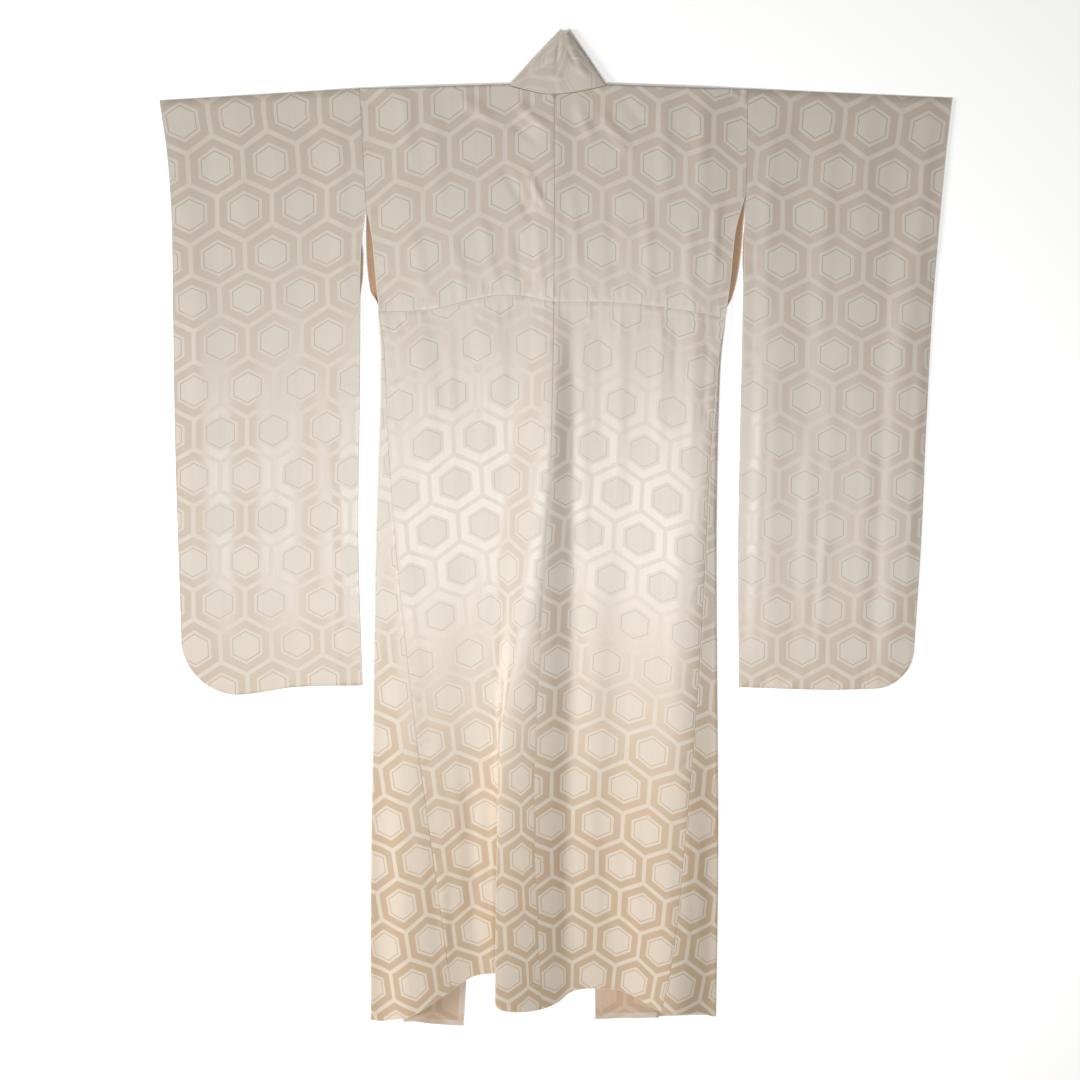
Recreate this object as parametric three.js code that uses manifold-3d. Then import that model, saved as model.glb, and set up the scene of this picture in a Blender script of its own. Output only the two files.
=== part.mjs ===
// A kakeshita kimono laid out on its front, back side up, sleeves spread.
// Millimetres, +Z up. +X is the viewer's right and +Y runs towards the collar.
//
// Every piece of cloth is a wall of even thickness round a grid of points. The grids are worked out in
// garment measures: x from the centre back, and "down", the distance below the shoulder line at the neck.
import * as THREE from "three";
import Module from "manifold-3d";

const wasm = await Module();
wasm.setup();

// Driving sizes
const CLOTH = 1.6; // body, sleeve and overlap cloth, with its turned edges
const COLLAR_CLOTH = 2; // the collar has several layers
const OVER_COLLAR_CLOTH = 1.2;
const COLLAR_GAP = 0.7; // between the two, which turn together
const SEAM_GAP = 0.3; // between pieces that are sewn together
const LAYER_GAP = 0.4; // between layers that lie on each other
const BODY_LENGTH = 1690; // shoulder to hem, along the side
const OVERLAP_START = 262; // top of the overlap panels, down from the shoulder
const COLLAR_END = 870; // lower ends of the collar band
const OVER_COLLAR_END = 420;
const COLLAR_WIDTH = 55; // the band where it lies folded on the fronts
const CUFF_OPENING = 230; // hand opening at the sleeve's outer edge
const BOX_CENTRE = { x: -7.27, down: 811.63 }; // middle of the finished outline

const FLOOR = CLOTH / 2; // mid-height of a layer that lies on the floor
const BACK_HEIGHT = 7.8; // mid-height of the back where it lies flat over the fronts
const EDGE_HEIGHT = 4.4; // mid-height of the back at the armholes

// Lines of the garment, as [down, x]
const CENTRE_SEAM = [[16, 0], [347, 0], [640, -6], [770, -14], [984, -18], [1300, -21], [1690, -9]];
const LEFT = {
  sign: -1,
  neckline: [[16, 0], [14.5, 24], [9.5, 47], [4, 71]], // x outwards
  armholeLine: [[7, -313], [193, -308]],
  seam: [
    [361, -291], [418, -284], [581, -281], [757, -273], [946, -259], [1124, -244], [1308, -226], [1690, -188],
  ],
  outline: [[361, -293], [453, -291], [757, -307], [1074, -320], [1411, -334], [1690, -342]],
  backEdge: [[193, -308], [243, -300], [304, -296], [361, -291]],
  frontEdge: [[193, -308], [272, -310], [327, -306], [350, -300], [361, -293]],
  frontInner: [[0, -71], [OVERLAP_START, -75], [500, -83], [870, -120], [1690, -248]],
  overlapEdge: [[OVERLAP_START, -74], [500, -75], [870, -112], [1690, -167]],
};
const RIGHT = {
  sign: 1,
  neckline: [[16, 0], [13.5, 32], [8, 60], [4, 82]],
  armholeLine: [[8, 311], [171, 314]],
  seam: [
    [375, 284], [435, 276], [509, 271], [640, 265], [818, 262], [1074, 254], [1308, 241], [1552, 224], [1690, 203],
  ],
  outline: [[375, 286], [452, 280], [656, 280], [882, 286], [1342, 302], [1690, 308]],
  backEdge: [[171, 314], [226, 300], [262, 296], [304, 293], [375, 284]],
  frontEdge: [[171, 314], [220, 311.5], [263, 309.5], [305, 305], [333, 299], [375, 286]],
  frontInner: [[0, 82], [OVERLAP_START, 75], [500, 62], [870, 73], [1690, 173]],
  overlapEdge: [[OVERLAP_START, 74], [500, 54], [870, 65], [1690, 81]],
};

// Where the back hem lies, as [flat x, down]: it is drawn up in the troughs.
const HEM = [
  [-342, 1687], [-320, 1688], [-295, 1679], [-262, 1667], [-223, 1642], [-190, 1621], [-151, 1596],
  [-118, 1590], [-96, 1590], [-78, 1602], [-64, 1634], [-44, 1648], [-14, 1653], [12, 1645], [32, 1629],
  [55, 1622], [90, 1621], [118, 1623], [147, 1631], [176, 1645], [210, 1661], [244, 1664], [278, 1668],
  [297, 1678], [308, 1680],
];
const FRONT_HEM = [
  [-342, 1687], [-271, 1690], [-213, 1700], [-167, 1703], [81, 1690], [186, 1684], [308, 1680],
];
const HEM_LIFT_START = 560; // above this the cloth lies straight

// Folds of the skirt. Each row is a station down the fold: crest x, height, width of its left and right
// slopes, and how far the crest leans over to the left.
const FOLDS = [
  [ // left side
    { down: 640, x: -262, height: 0, left: 40, right: 60, lean: 0 },
    { down: 1150, x: -268, height: 9, left: 50, right: 110, lean: 0 },
    { down: 1690, x: -262, height: 20, left: 72, right: 142, lean: 0 },
  ],
  [ // gather under the waist seam, left
    { down: 364, x: -222, height: 0, left: 36, right: 36, lean: 0 },
    { down: 450, x: -222, height: 3.2, left: 46, right: 44, lean: 0 },
    { down: 600, x: -222, height: 2.6, left: 50, right: 48, lean: 0 },
    { down: 760, x: -226, height: 0, left: 50, right: 40, lean: 0 },
  ],
  [ // gather under the waist seam, left of centre
    { down: 340, x: -90, height: 0, left: 34, right: 32, lean: 0 },
    { down: 440, x: -94, height: 2.6, left: 40, right: 36, lean: 0 },
    { down: 620, x: -96, height: 0, left: 44, right: 40, lean: 0 },
  ],
  [ // centre roll
    { down: 352, x: -3, height: 2, left: 60, right: 38, lean: 0 },
    { down: 430, x: -4, height: 6.5, left: 66, right: 44, lean: 0 },
    { down: 540, x: -8, height: 12, left: 70, right: 50, lean: 0 },
    { down: 760, x: -28, height: 16, left: 74, right: 70, lean: 0 },
    { down: 940, x: -46, height: 19, left: 68, right: 88, lean: 8 },
    { down: 1120, x: -60, height: 24, left: 56, right: 100, lean: 24 },
    { down: 1400, x: -64, height: 31, left: 46, right: 106, lean: 34 },
    { down: 1690, x: -62, height: 38, left: 38, right: 108, lean: 42 },
  ],
  [ // right side
    { down: 360, x: 236, height: 0, left: 100, right: 44, lean: 0 },
    { down: 560, x: 246, height: 6, left: 124, right: 60, lean: 0 },
    { down: 900, x: 232, height: 10, left: 130, right: 70, lean: 0 },
    { down: 1200, x: 226, height: 14, left: 130, right: 78, lean: 0 },
    { down: 1690, x: 222, height: 22, left: 112, right: 84, lean: 0 },
  ],
];

const SLEEVES = {
  left: {
    sign: -1,
    inner: [[193, -308], [265, -318], [506, -328], [757, -338], [1023, -338]],
    outer: [[26, -636], [110, -629], [215, -628], [350, -634], [600, -645], [950, -655]],
    top: [7, 26],
    bottom: [[0, 1023], [0.38, 1026], [0.68, 1040], [1, 1038]],
    corner: 96,
    line: LEFT.armholeLine,
    showing: 4, // the front layer stands out past the back layer below the armhole
    waves: [ // soft ridges along the sleeve: place across it, height, half width
      { across: 0.06, height: 3.2, half: 0.24 },
      { across: 0.5, height: 1, half: 0.2 },
      { across: 0.84, height: 2.6, half: 0.155 },
    ],
  },
  right: {
    sign: 1,
    inner: [[171, 314], [204, 313], [378, 315], [757, 320], [1027, 330]],
    outer: [[22, 641], [127, 636], [344, 631], [560, 633], [757, 637], [958, 637]],
    top: [8, 22],
    bottom: [[0, 1026], [0.5, 1031], [0.8, 1029], [1, 1026]],
    corner: 68,
    line: RIGHT.armholeLine,
    showing: 2,
    waves: [
      { across: 0.2, height: 2.2, half: 0.16 },
      { across: 0.55, height: 1.4, half: 0.2 },
      { across: 0.86, height: 2.6, half: 0.12 },
    ],
  },
};

// Smooth value at a place in a table of [place, value] rows.
function along(table, at) {
  const last = table.length - 1;
  if (at <= table[0][0]) return table[0][1];
  if (at >= table[last][0]) return table[last][1];
  let i = 0;
  while (at > table[i + 1][0]) i += 1;
  const slope = (k) => {
    const a = table[Math.max(k - 1, 0)];
    const b = table[Math.min(k + 1, last)];
    return (b[1] - a[1]) / (b[0] - a[0]);
  };
  const [p0, v0] = table[i];
  const [p1, v1] = table[i + 1];
  const span = p1 - p0;
  const t = (at - p0) / span;
  const rise = t * t * (3 - 2 * t);
  const start = t * (1 - t) * (1 - t) * span * slope(i);
  const end = t * t * (t - 1) * span * slope(i + 1);
  return v0 + (v1 - v0) * rise + start + end;
}

const mix = (a, b, t) => a + (b - a) * t;
const clamp01 = (t) => Math.min(Math.max(t, 0), 1);
const ease = (t) => clamp01(t) ** 2 * (3 - 2 * clamp01(t));
const bump = (t) => (Math.abs(t) < 1 ? (1 + Math.cos(Math.PI * t)) / 2 : 0);

// One fold's measures at a place down the garment.
function station(fold, down) {
  const read = (key) => along(fold.map((row) => [row.down, row[key]]), down);
  return {
    x: read("x"),
    height: read("height"),
    left: read("left"),
    right: read("right"),
    lean: read("lean"),
  };
}

// How high the back lies without folds: lower over the single front layer at the armholes.
function baseHeight(x, down) {
  const middle = ease((305 - Math.abs(x)) / 70);
  const skirt = ease((down - 300) / 110);
  return mix(EDGE_HEIGHT, BACK_HEIGHT, Math.max(middle, skirt));
}

// The back's surface at a flat place: x across before folding, and down along the cloth.
function backPlace(x, down) {
  let place = x;
  let height = baseHeight(x, down);
  for (const fold of FOLDS) {
    const f = station(fold, down);
    const side = x < f.x ? f.left : f.right;
    const rise = bump((x - f.x) / side);
    height += f.height * rise;
    place -= f.lean * rise * rise;
  }
  const share = ease((down - HEM_LIFT_START) / (BODY_LENGTH - HEM_LIFT_START));
  const lift = (BODY_LENGTH - along(HEM, x)) * share;
  return point(place, down - lift, height);
}

// The same with the surface's own normal, which neighbours at a seam share.
function backPoint(x, down) {
  const across = backPlace(x + 1, down).sub(backPlace(x - 1, down));
  const upwards = backPlace(x, down - 1).sub(backPlace(x, down + 1));
  const place = backPlace(x, down);
  place.normal = across.cross(upwards).normalize();
  return place;
}

// Where a flat place of the fronts lies down the garment, drawn to the front hem.
const frontDown = (x, down) => {
  const share = ease((down - HEM_LIFT_START) / (BODY_LENGTH - HEM_LIFT_START));
  return down + (along(FRONT_HEM, x) - BODY_LENGTH) * share;
};

// A line that is sewn to the sleeve down to the armhole's end and free below it.
const edgeLine = (sewn, free, down) => {
  const [[topDown, topX], [endDown, endX]] = sewn;
  if (down > endDown) return along(free, down);
  return mix(topX, endX, (down - topDown) / (endDown - topDown));
};

// A point of the part from garment measures.
function point(x, down, z) {
  return new THREE.Vector3(x - BOX_CENTRE.x, BOX_CENTRE.down - down, z);
}

// The cells of a grid of points, as corner indices. A looped grid joins its last row to its first.
function gridCells(grid, looped) {
  const rows = grid.length;
  const columns = grid[0].length;
  const at = (r, c) => (r % rows) * columns + c;
  const cells = [];
  for (let r = 0; r < (looped ? rows : rows - 1); r += 1)
    for (let c = 0; c < columns - 1; c += 1) {
      cells.push([at(r, c), at(r, c + 1), at(r + 1, c + 1), at(r + 1, c)]);
    }
  return cells;
}

// The grid's normals, row by row. A point that carries its own normal keeps it.
function gridNormals(grid, looped) {
  const points = grid.flat();
  const normals = points.map(() => new THREE.Vector3());
  for (const cell of gridCells(grid, looped)) {
    const [a, b, c, d] = cell.map((i) => points[i]);
    const n = new THREE.Vector3().crossVectors(c.clone().sub(a), d.clone().sub(b)).normalize();
    cell.forEach((i) => normals[i].add(n));
  }
  const columns = grid[0].length;
  normals.forEach((n, i) => {
    n.normalize();
    const own = points[i].normal;
    const way = own ? Math.sign(n.dot(own)) : 1;
    if (own) n.copy(own).multiplyScalar(way);
  });
  return grid.map((_, r) => normals.slice(r * columns, (r + 1) * columns));
}

// A closed wall of a thickness round a grid of points.
function wall(grid, thickness, looped = false) {
  const rows = grid.length;
  const columns = grid[0].length;
  const at = (r, c) => (r % rows) * columns + c;
  const points = grid.flat();
  const normals = gridNormals(grid, looped).flat();
  const half = thickness / 2;
  const outer = points.map((p, i) => p.clone().addScaledVector(normals[i], half));
  const inner = points.map((p, i) => p.clone().addScaledVector(normals[i], -half));
  const back = points.length;
  const faces = [];
  const quad = (a, b, c, d) => faces.push(a, b, c, a, c, d);
  for (const [a, b, c, d] of gridCells(grid, looped)) {
    quad(a, b, c, d);
    quad(back + d, back + c, back + b, back + a);
  }
  const rim = (a, b) => quad(b, a, back + a, back + b);
  for (let r = 0; r < (looped ? rows : rows - 1); r += 1) {
    rim(at(r + 1, 0), at(r, 0));
    rim(at(r, columns - 1), at(r + 1, columns - 1));
  }
  if (!looped)
    for (let c = 0; c < columns - 1; c += 1) {
      rim(at(0, c), at(0, c + 1));
      rim(at(rows - 1, c + 1), at(rows - 1, c));
    }
  const geometry = new THREE.BufferGeometry();
  const flat = [...outer, ...inner].flatMap((p) => [p.x, p.y, p.z]);
  geometry.setAttribute("position", new THREE.BufferAttribute(new Float32Array(flat), 3));
  geometry.setIndex(faces);
  return solidVolume(geometry) < 0 ? turned(geometry) : geometry;
}

// Signed volume of a closed geometry.
function solidVolume(geometry) {
  const p = geometry.getAttribute("position");
  const corner = (i) => new THREE.Vector3().fromBufferAttribute(p, geometry.index.getX(i));
  let total = 0;
  for (let i = 0; i < geometry.index.count; i += 3)
    total += corner(i).dot(corner(i + 1).cross(corner(i + 2))) / 6;
  return total;
}

// The same geometry with its faces the other way round.
function turned(geometry) {
  const i = geometry.index.array;
  for (let k = 0; k < i.length; k += 3) [i[k + 1], i[k + 2]] = [i[k + 2], i[k + 1]];
  return geometry;
}

// Two closed geometries joined into one.
function joined(a, b) {
  const solid = (g) =>
    new wasm.Manifold(
      new wasm.Mesh({
        numProp: 3,
        vertProperties: g.getAttribute("position").array,
        triVerts: new Uint32Array(g.index.array),
      }),
    );
  const mesh = solid(a).add(solid(b)).getMesh();
  const geometry = new THREE.BufferGeometry();
  geometry.setAttribute("position", new THREE.BufferAttribute(mesh.vertProperties, 3));
  geometry.setIndex(new THREE.BufferAttribute(mesh.triVerts, 1));
  return geometry;
}

// Rows down the skirt that both edges of a side seam share.
const LOWER_ROWS = [430, 500, 600, 730, 860, 1000, 1130, 1250, 1360, 1460, 1550, 1625, BODY_LENGTH];
const skirtRows = (start) => [start, start + 24, ...LOWER_ROWS];

// A body panel: one length of cloth from the back hem over the shoulder to the front hem. The back half
// reaches the centre seam. The front half turns round the side and ends at the side seam, on top.
function bodyPanel(side, shares) {
  const { sign } = side;
  const inset = SEAM_GAP / 2;
  const grid = [];
  const seamStart = side.seam[0][0];
  const armhole = side.armholeLine[1][0];
  const edge = (free, down) => edgeLine(side.armholeLine, free, down) - sign * inset;
  const backRow = (innerX, innerDown, outerX, outerDown) =>
    grid.push(shares.map((t) => backPoint(mix(innerX, outerX, t), mix(innerDown, outerDown, t))));

  for (const down of skirtRows(seamStart).reverse())
    backRow(along(CENTRE_SEAM, down) + sign * inset, down, along(side.seam, down) - sign * inset, down);
  for (const down of [armhole + 100, armhole + 50, armhole, 110, 50])
    backRow(along(CENTRE_SEAM, down) + sign * inset, down, edge(side.backEdge, down), down);
  side.neckline.slice(0, 3).forEach(([down, x], i) => {
    const shoulder = 28 - 7 * i;
    backRow(sign * (x + inset), down, edge(side.backEdge, shoulder), shoulder);
  });

  // Shoulder fold, turned through half a circle
  const neckX = sign * (side.neckline[3][1] + inset);
  const shoulderX = edge(side.backEdge, side.armholeLine[0][0]);
  for (const angle of [90, 45, 0, -45, -90]) {
    const turn = THREE.MathUtils.degToRad(angle);
    grid.push(
      shares.map((t) => {
        const x = mix(neckX, shoulderX, t);
        const radius = (baseHeight(x, 0) - FLOOR) / 2;
        const fold = mix(0.5, side.armholeLine[0][0], t);
        return point(x, fold + radius * (1 - Math.cos(turn)), FLOOR + radius * (1 + Math.sin(turn)));
      }),
    );
  }

  // Front half: floor cells, turn cells and top cells
  const FLOOR_CELLS = 6;
  const TURN_CELLS = 4;
  const TOP_CELLS = shares.length - 1 - FLOOR_CELLS - TURN_CELLS;
  const floorInner = (down) => along(side.frontInner, down) + sign * inset;
  for (const down of [30, 110, armhole, armhole + 50, armhole + 100, 330]) {
    const outer = edge(side.frontEdge, down);
    const across = (c) => mix(floorInner(down), outer, c / (shares.length - 1));
    grid.push(shares.map((_, c) => point(across(c), down, FLOOR)));
  }
  for (const down of skirtRows(seamStart)) {
    const outline = along(side.outline, down);
    const seam = along(side.seam, down) + sign * inset;
    const top = backPoint(outline, down);
    const radius = (top.z - FLOOR) / 2;
    const centre = outline - sign * radius;
    const hem = frontDown(outline, down);
    const row = [];
    for (let c = 0; c < FLOOR_CELLS; c += 1) {
      const x = mix(floorInner(down), centre, c / FLOOR_CELLS);
      row.push(point(x, frontDown(x, down), FLOOR));
    }
    for (let c = 0; c <= TURN_CELLS; c += 1) {
      const turn = Math.PI * (c / TURN_CELLS - 0.5);
      const level = mix(hem, BOX_CENTRE.down - top.y, c / TURN_CELLS);
      const height = FLOOR + radius * (1 + Math.sin(turn));
      row.push(point(centre + sign * radius * Math.cos(turn), level, height));
    }
    for (let c = 1; c <= TOP_CELLS; c += 1) row.push(backPoint(mix(centre, seam, c / TOP_CELLS), down));
    grid.push(row);
  }
  return wall(grid, CLOTH);
}

// Rows that an overlap panel and the collar share along the seam between them.
const OVERLAP_ROWS = [OVERLAP_START, 330, OVER_COLLAR_END, 520, 640, 760, COLLAR_END];

// An overlap panel: it lies back over the front panel, turns, and comes in again to its free edge.
function overlapPanel(side) {
  const { sign } = side;
  const low = FLOOR + CLOTH + LAYER_GAP;
  const radius = (CLOTH + LAYER_GAP) / 2;
  const high = low + 2 * radius;
  const FULL_WIDTH = 145;
  const TOP_WIDTH = 14;
  const rows = [...OVERLAP_ROWS, 1000, 1150, 1300, 1450, 1580, BODY_LENGTH];
  const grid = rows.map((down) => {
    const share = clamp01((down - OVERLAP_START) / (COLLAR_END - OVERLAP_START));
    const width = mix(TOP_WIDTH, FULL_WIDTH, share);
    const seam = along(side.frontInner, down) + sign * 1.2;
    const free = along(side.overlapEdge, down);
    const fold = (width - Math.abs(free - seam)) / 2;
    const foldX = seam + sign * fold;
    const level = frontDown(seam, down);
    const row = [0, 0.5, 1].map((t) => point(mix(seam, foldX - sign * radius, t), level, low));
    row.push(point(foldX, frontDown(seam, down), low + radius));
    for (const t of [0.04, 0.3, 0.5, 0.68, 0.84, 1]) {
      const x = mix(foldX, free, t);
      const past = (seam - sign * 1.5 - x) * sign; // how far past the front panel's edge
      const drop = ease(past / Math.max(6, Math.abs(free - seam) * 0.6));
      row.push(point(x, frontDown(x, down), mix(high, FLOOR, drop)));
    }
    return row;
  });
  return wall(grid, CLOTH);
}

// A sleeve: one length of cloth, folded at the shoulder, closed along the bottom and the lower outer edge.
function sleeve(cut) {
  const { sign } = cut;
  const across = [0, 0.06, 0.2, 0.38, 0.55, 0.7, 0.8, 0.87, 0.925, 0.965, 0.99, 1];
  const innerX = (down) => edgeLine(cut.line, cut.inner, down) + sign * (SEAM_GAP / 2);
  const lineX = (share, down) => mix(innerX(down), along(cut.outer, down), share);
  const topOf = (share) => mix(cut.top[0], cut.top[1], share);
  const attached = cut.line[1][0];
  const armholeShare = (attached - topOf(0)) / (cut.bottom[0][1] - topOf(0));
  const downs = [0.02, 0.1, armholeShare, 0.24, 0.36, 0.5, 0.64, 0.78, 0.88, 0.94, 0.985];
  const bottomOf = (share) => {
    const line = along(cut.bottom, share);
    const fromEdge = Math.abs(lineX(1, 900) - lineX(share, 900));
    const into = Math.max(cut.corner - fromEdge, 0);
    return line - (cut.corner - Math.sqrt(cut.corner ** 2 - into ** 2));
  };
  const topLayer = (share, down) => {
    const seam = EDGE_HEIGHT - FLOOR - CLOTH - LAYER_GAP;
    let height = FLOOR + CLOTH + LAYER_GAP + seam * (1 - ease(share / 0.35));
    const fade = ease((down - 190) / 240) * ease((1040 - down) / 160);
    for (const wave of cut.waves) {
      height += wave.height * bump((share - wave.across) / wave.half) * fade;
    }
    return height;
  };
  const columns = across.map((share) => {
    const top = topOf(share);
    const bottom = bottomOf(share);
    const length = bottom - top;
    const radius = (topLayer(share, top) - FLOOR) / 2;
    const foot = (topLayer(share, bottom) - FLOOR) / 2;
    const loop = [];
    const turn = (down, size, away, centre) => {
      for (const angle of [-60, 0, 60]) {
        const a = THREE.MathUtils.degToRad(away * angle);
        loop.push([down - away * size * Math.cos(a), centre + away * size * Math.sin(a)]);
      }
    };
    turn(top + radius, radius, 1, FLOOR + radius); // over the shoulder, floor layer to top layer
    for (const t of downs) loop.push([top + length * t, topLayer(share, top + length * t)]);
    turn(bottom - foot, foot, -1, FLOOR + foot); // round the bottom seam
    for (const t of [...downs].reverse()) loop.push([top + length * t, FLOOR]);
    return loop.map(([down, z]) => {
      const below = ease((down - attached - 50) / 30) * ease((attached + 150 - down) / 40);
      const showing = z === FLOOR ? -sign * cut.showing * below * (1 - share) : 0;
      return point(lineX(share, down) + showing, down, z);
    });
  });
  const grid = columns[0].map((_, r) => columns.map((column) => column[r]));
  return joined(wall(grid, CLOTH, true), cuffSeam(lineX, topLayer, bottomOf, cut));
}

// The sewn part of a sleeve's outer edge, below the hand opening: a strip that joins its two layers.
function cuffSeam(lineX, topLayer, bottomOf, cut) {
  const start = cut.top[1] + CUFF_OPENING;
  const end = bottomOf(1) - 1;
  const SEAM_WIDTH = 2.4;
  const grid = [0, 0.33, 0.67, 1].map((t) => {
    const down = mix(start, end, t);
    const x = lineX(1, down) - cut.sign * (SEAM_WIDTH / 2 + 0.4);
    return [FLOOR, topLayer(1, down)].map((z) => point(x, down, z));
  });
  return wall(grid, SEAM_WIDTH);
}

// Rows of the collar band: up the left front, round the back of the neck, where it stands up to a narrow
// tip, and down the right front. Each row runs from the edge that is sewn on to the free edge.
function collarGrid() {
  const low = COLLAR_CLOTH / 2;
  const raised = OVER_COLLAR_CLOTH + COLLAR_GAP + low; // where it lies on the over-collar
  const WIDER = [[40, 20], [90, 13], [170, 8], [OVERLAP_START, 4], [OVER_COLLAR_END, 0]];
  const RISE = [[40, 42], [90, 28], [170, 14], [OVERLAP_START, 6], [OVER_COLLAR_END, 0]];
  const band = (side) =>
    [40, 90, 170, ...OVERLAP_ROWS].map((down) => {
      const sewn = down < OVERLAP_START ? side.frontInner : side.overlapEdge;
      const ax = along(sewn, down) - side.sign * 0.8;
      const z = down > OVER_COLLAR_END ? low : raised;
      const width = COLLAR_WIDTH + along(WIDER, down);
      return { ax, ad: down, az: z, bx: ax - side.sign * width, bd: down - along(RISE, down), bz: z };
    });
  const TIP = -78;
  const fold = (side, angle, tipX) => {
    const turn = THREE.MathUtils.degToRad(angle);
    const radius = (BACK_HEIGHT - raised) / 2;
    return {
      ax: side.sign * (side.neckline[3][1] - 2.2),
      ad: 0.5 + radius * (1 - Math.cos(turn)),
      az: raised + radius * (1 + Math.sin(turn)),
      bx: tipX,
      bd: TIP + 1.6 * (1 - Math.cos(turn)),
      bz: raised + 1.5 * (1 + Math.sin(turn)),
    };
  };
  const back = ([down, x], sign, tipX) => ({
    ax: sign * x, ad: down - 0.45, az: BACK_HEIGHT, bx: tipX, bd: TIP + 1.6, bz: raised + 3,
  });
  return [
    ...band(LEFT).reverse(),
    fold(LEFT, -90, 10),
    fold(LEFT, -40, 10.9),
    fold(LEFT, 0, 11.7),
    fold(LEFT, 40, 12.5),
    back(LEFT.neckline[2], -1, 13.5),
    back(LEFT.neckline[1], -1, 14.6),
    back(LEFT.neckline[0], -1, 16),
    back(RIGHT.neckline[1], 1, 17.4),
    back(RIGHT.neckline[2], 1, 18.5),
    fold(RIGHT, 40, 19.5),
    fold(RIGHT, 0, 20.3),
    fold(RIGHT, -40, 21.1),
    fold(RIGHT, -90, 22),
    ...band(RIGHT),
  ].map((r) => [0, 0.25, 0.5, 0.75, 1].map((t) => {
    return point(mix(r.ax, r.bx, t), mix(r.ad, r.bd, t), mix(r.az, r.bz, t));
  }));
}

// The over-collar lies on the outer face of the collar, from front to front.
function overCollarGrid() {
  const grid = collarGrid();
  const out = COLLAR_CLOTH / 2 + COLLAR_GAP + OVER_COLLAR_CLOTH / 2;
  const normals = gridNormals(grid, false);
  const faces = normals[Math.floor(grid.length / 2)][0].z > 0 ? 1 : -1;
  const ends = OVERLAP_ROWS.length - 1 - OVERLAP_ROWS.indexOf(OVER_COLLAR_END);
  return grid
    .map((row, r) => row.map((p, c) => p.clone().addScaledVector(normals[r][c], faces * out)))
    .slice(ends, grid.length - ends);
}

const IVORY = 0xe9dfd3;
const cloth = (roughness) => new THREE.MeshStandardMaterial({ color: IVORY, roughness, metalness: 0 });

const LEFT_SHARES = [0, 0.06, 0.12, 0.17, 0.21, 0.25, 0.29, 0.33, 0.38, 0.44, 0.54, 0.68, 0.84, 1];
const RIGHT_SHARES = [0, 0.05, 0.1, 0.15, 0.2, 0.26, 0.33, 0.41, 0.5, 0.6, 0.7, 0.8, 0.9, 1];

const kimono = new THREE.Group();
const add = (name, geometry, roughness) => {
  const mesh = new THREE.Mesh(geometry, cloth(roughness));
  mesh.name = name;
  kimono.add(mesh);
};
add("body_left", bodyPanel(LEFT, LEFT_SHARES), 0.5);
add("body_right", bodyPanel(RIGHT, RIGHT_SHARES), 0.5);
add("overlap_left", overlapPanel(LEFT), 0.5);
add("overlap_right", overlapPanel(RIGHT), 0.5);
add("sleeve_left", sleeve(SLEEVES.left), 0.5);
add("sleeve_right", sleeve(SLEEVES.right), 0.5);
add("collar", wall(collarGrid(), COLLAR_CLOTH), 0.55);
add("over_collar", wall(overCollarGrid(), OVER_COLLAR_CLOTH), 0.55);

export default kimono;
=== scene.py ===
# %% [markdown]
# # A kakeshita kimono, laid flat on its front
# The garment is a bridal kimono of ivory figured silk: a woven tortoiseshell figure of hexagons runs over
# every panel. It lies on its front, so its back is what shows, with the sleeves spread and the fronts
# hanging open. Each panel is made here as its own thin sheet, over the solid that model.glb holds for it.

# %% Load the frame
import functools
import math
import random

import bmesh
import bpy
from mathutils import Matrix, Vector


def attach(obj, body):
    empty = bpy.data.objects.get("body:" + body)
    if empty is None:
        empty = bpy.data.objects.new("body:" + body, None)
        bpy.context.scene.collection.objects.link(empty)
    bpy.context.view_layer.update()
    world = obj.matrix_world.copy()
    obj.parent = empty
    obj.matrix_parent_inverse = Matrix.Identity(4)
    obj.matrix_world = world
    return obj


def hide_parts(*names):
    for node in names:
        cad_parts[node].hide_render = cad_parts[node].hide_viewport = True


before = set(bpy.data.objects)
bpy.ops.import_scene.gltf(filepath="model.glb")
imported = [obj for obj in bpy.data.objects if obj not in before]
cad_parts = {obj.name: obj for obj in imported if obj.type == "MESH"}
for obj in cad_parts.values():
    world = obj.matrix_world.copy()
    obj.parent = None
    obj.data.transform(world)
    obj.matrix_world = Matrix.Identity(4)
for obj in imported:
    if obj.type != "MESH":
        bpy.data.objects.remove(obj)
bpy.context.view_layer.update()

# %% [markdown]
# ## Garment measures
# A tailor measures a kimono from the middle of the neck outwards and from the shoulder down. The tables
# below do the same, in millimetres: x from the centre back, and "down" from the shoulder line. One small
# function turns such a measure into a place in the frame, in metres, so every piece lands on its solid.

# %% From garment measures to the frame
MM = 0.001
CENTRE_X = -7.27
CENTRE_DOWN = 811.63


def spot(x, down, z):
    return Vector(((x - CENTRE_X) * MM, (CENTRE_DOWN - down) * MM, z * MM))


def mix(a, b, t):
    return a + (b - a) * t


def ease(t):
    t = min(max(t, 0.0), 1.0)
    return t * t * (3 - 2 * t)


def bump(t):
    return (1 + math.cos(math.pi * t)) / 2 if abs(t) < 1 else 0.0


def along(table, at):
    """Smooth value at a place in a table of (place, value) rows."""
    last = len(table) - 1
    if at <= table[0][0]:
        return table[0][1]
    if at >= table[last][0]:
        return table[last][1]
    i = 0
    while at > table[i + 1][0]:
        i += 1

    def slope(k):
        a, b = table[max(k - 1, 0)], table[min(k + 1, last)]
        return (b[1] - a[1]) / (b[0] - a[0])

    (p0, v0), (p1, v1) = table[i], table[i + 1]
    span = p1 - p0
    t = (at - p0) / span
    start = t * (1 - t) * (1 - t) * span * slope(i)
    end = t * t * (t - 1) * span * slope(i + 1)
    return v0 + (v1 - v0) * t * t * (3 - 2 * t) + start + end


print("the garment's origin in the frame:", spot(0, 0, 0))

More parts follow.
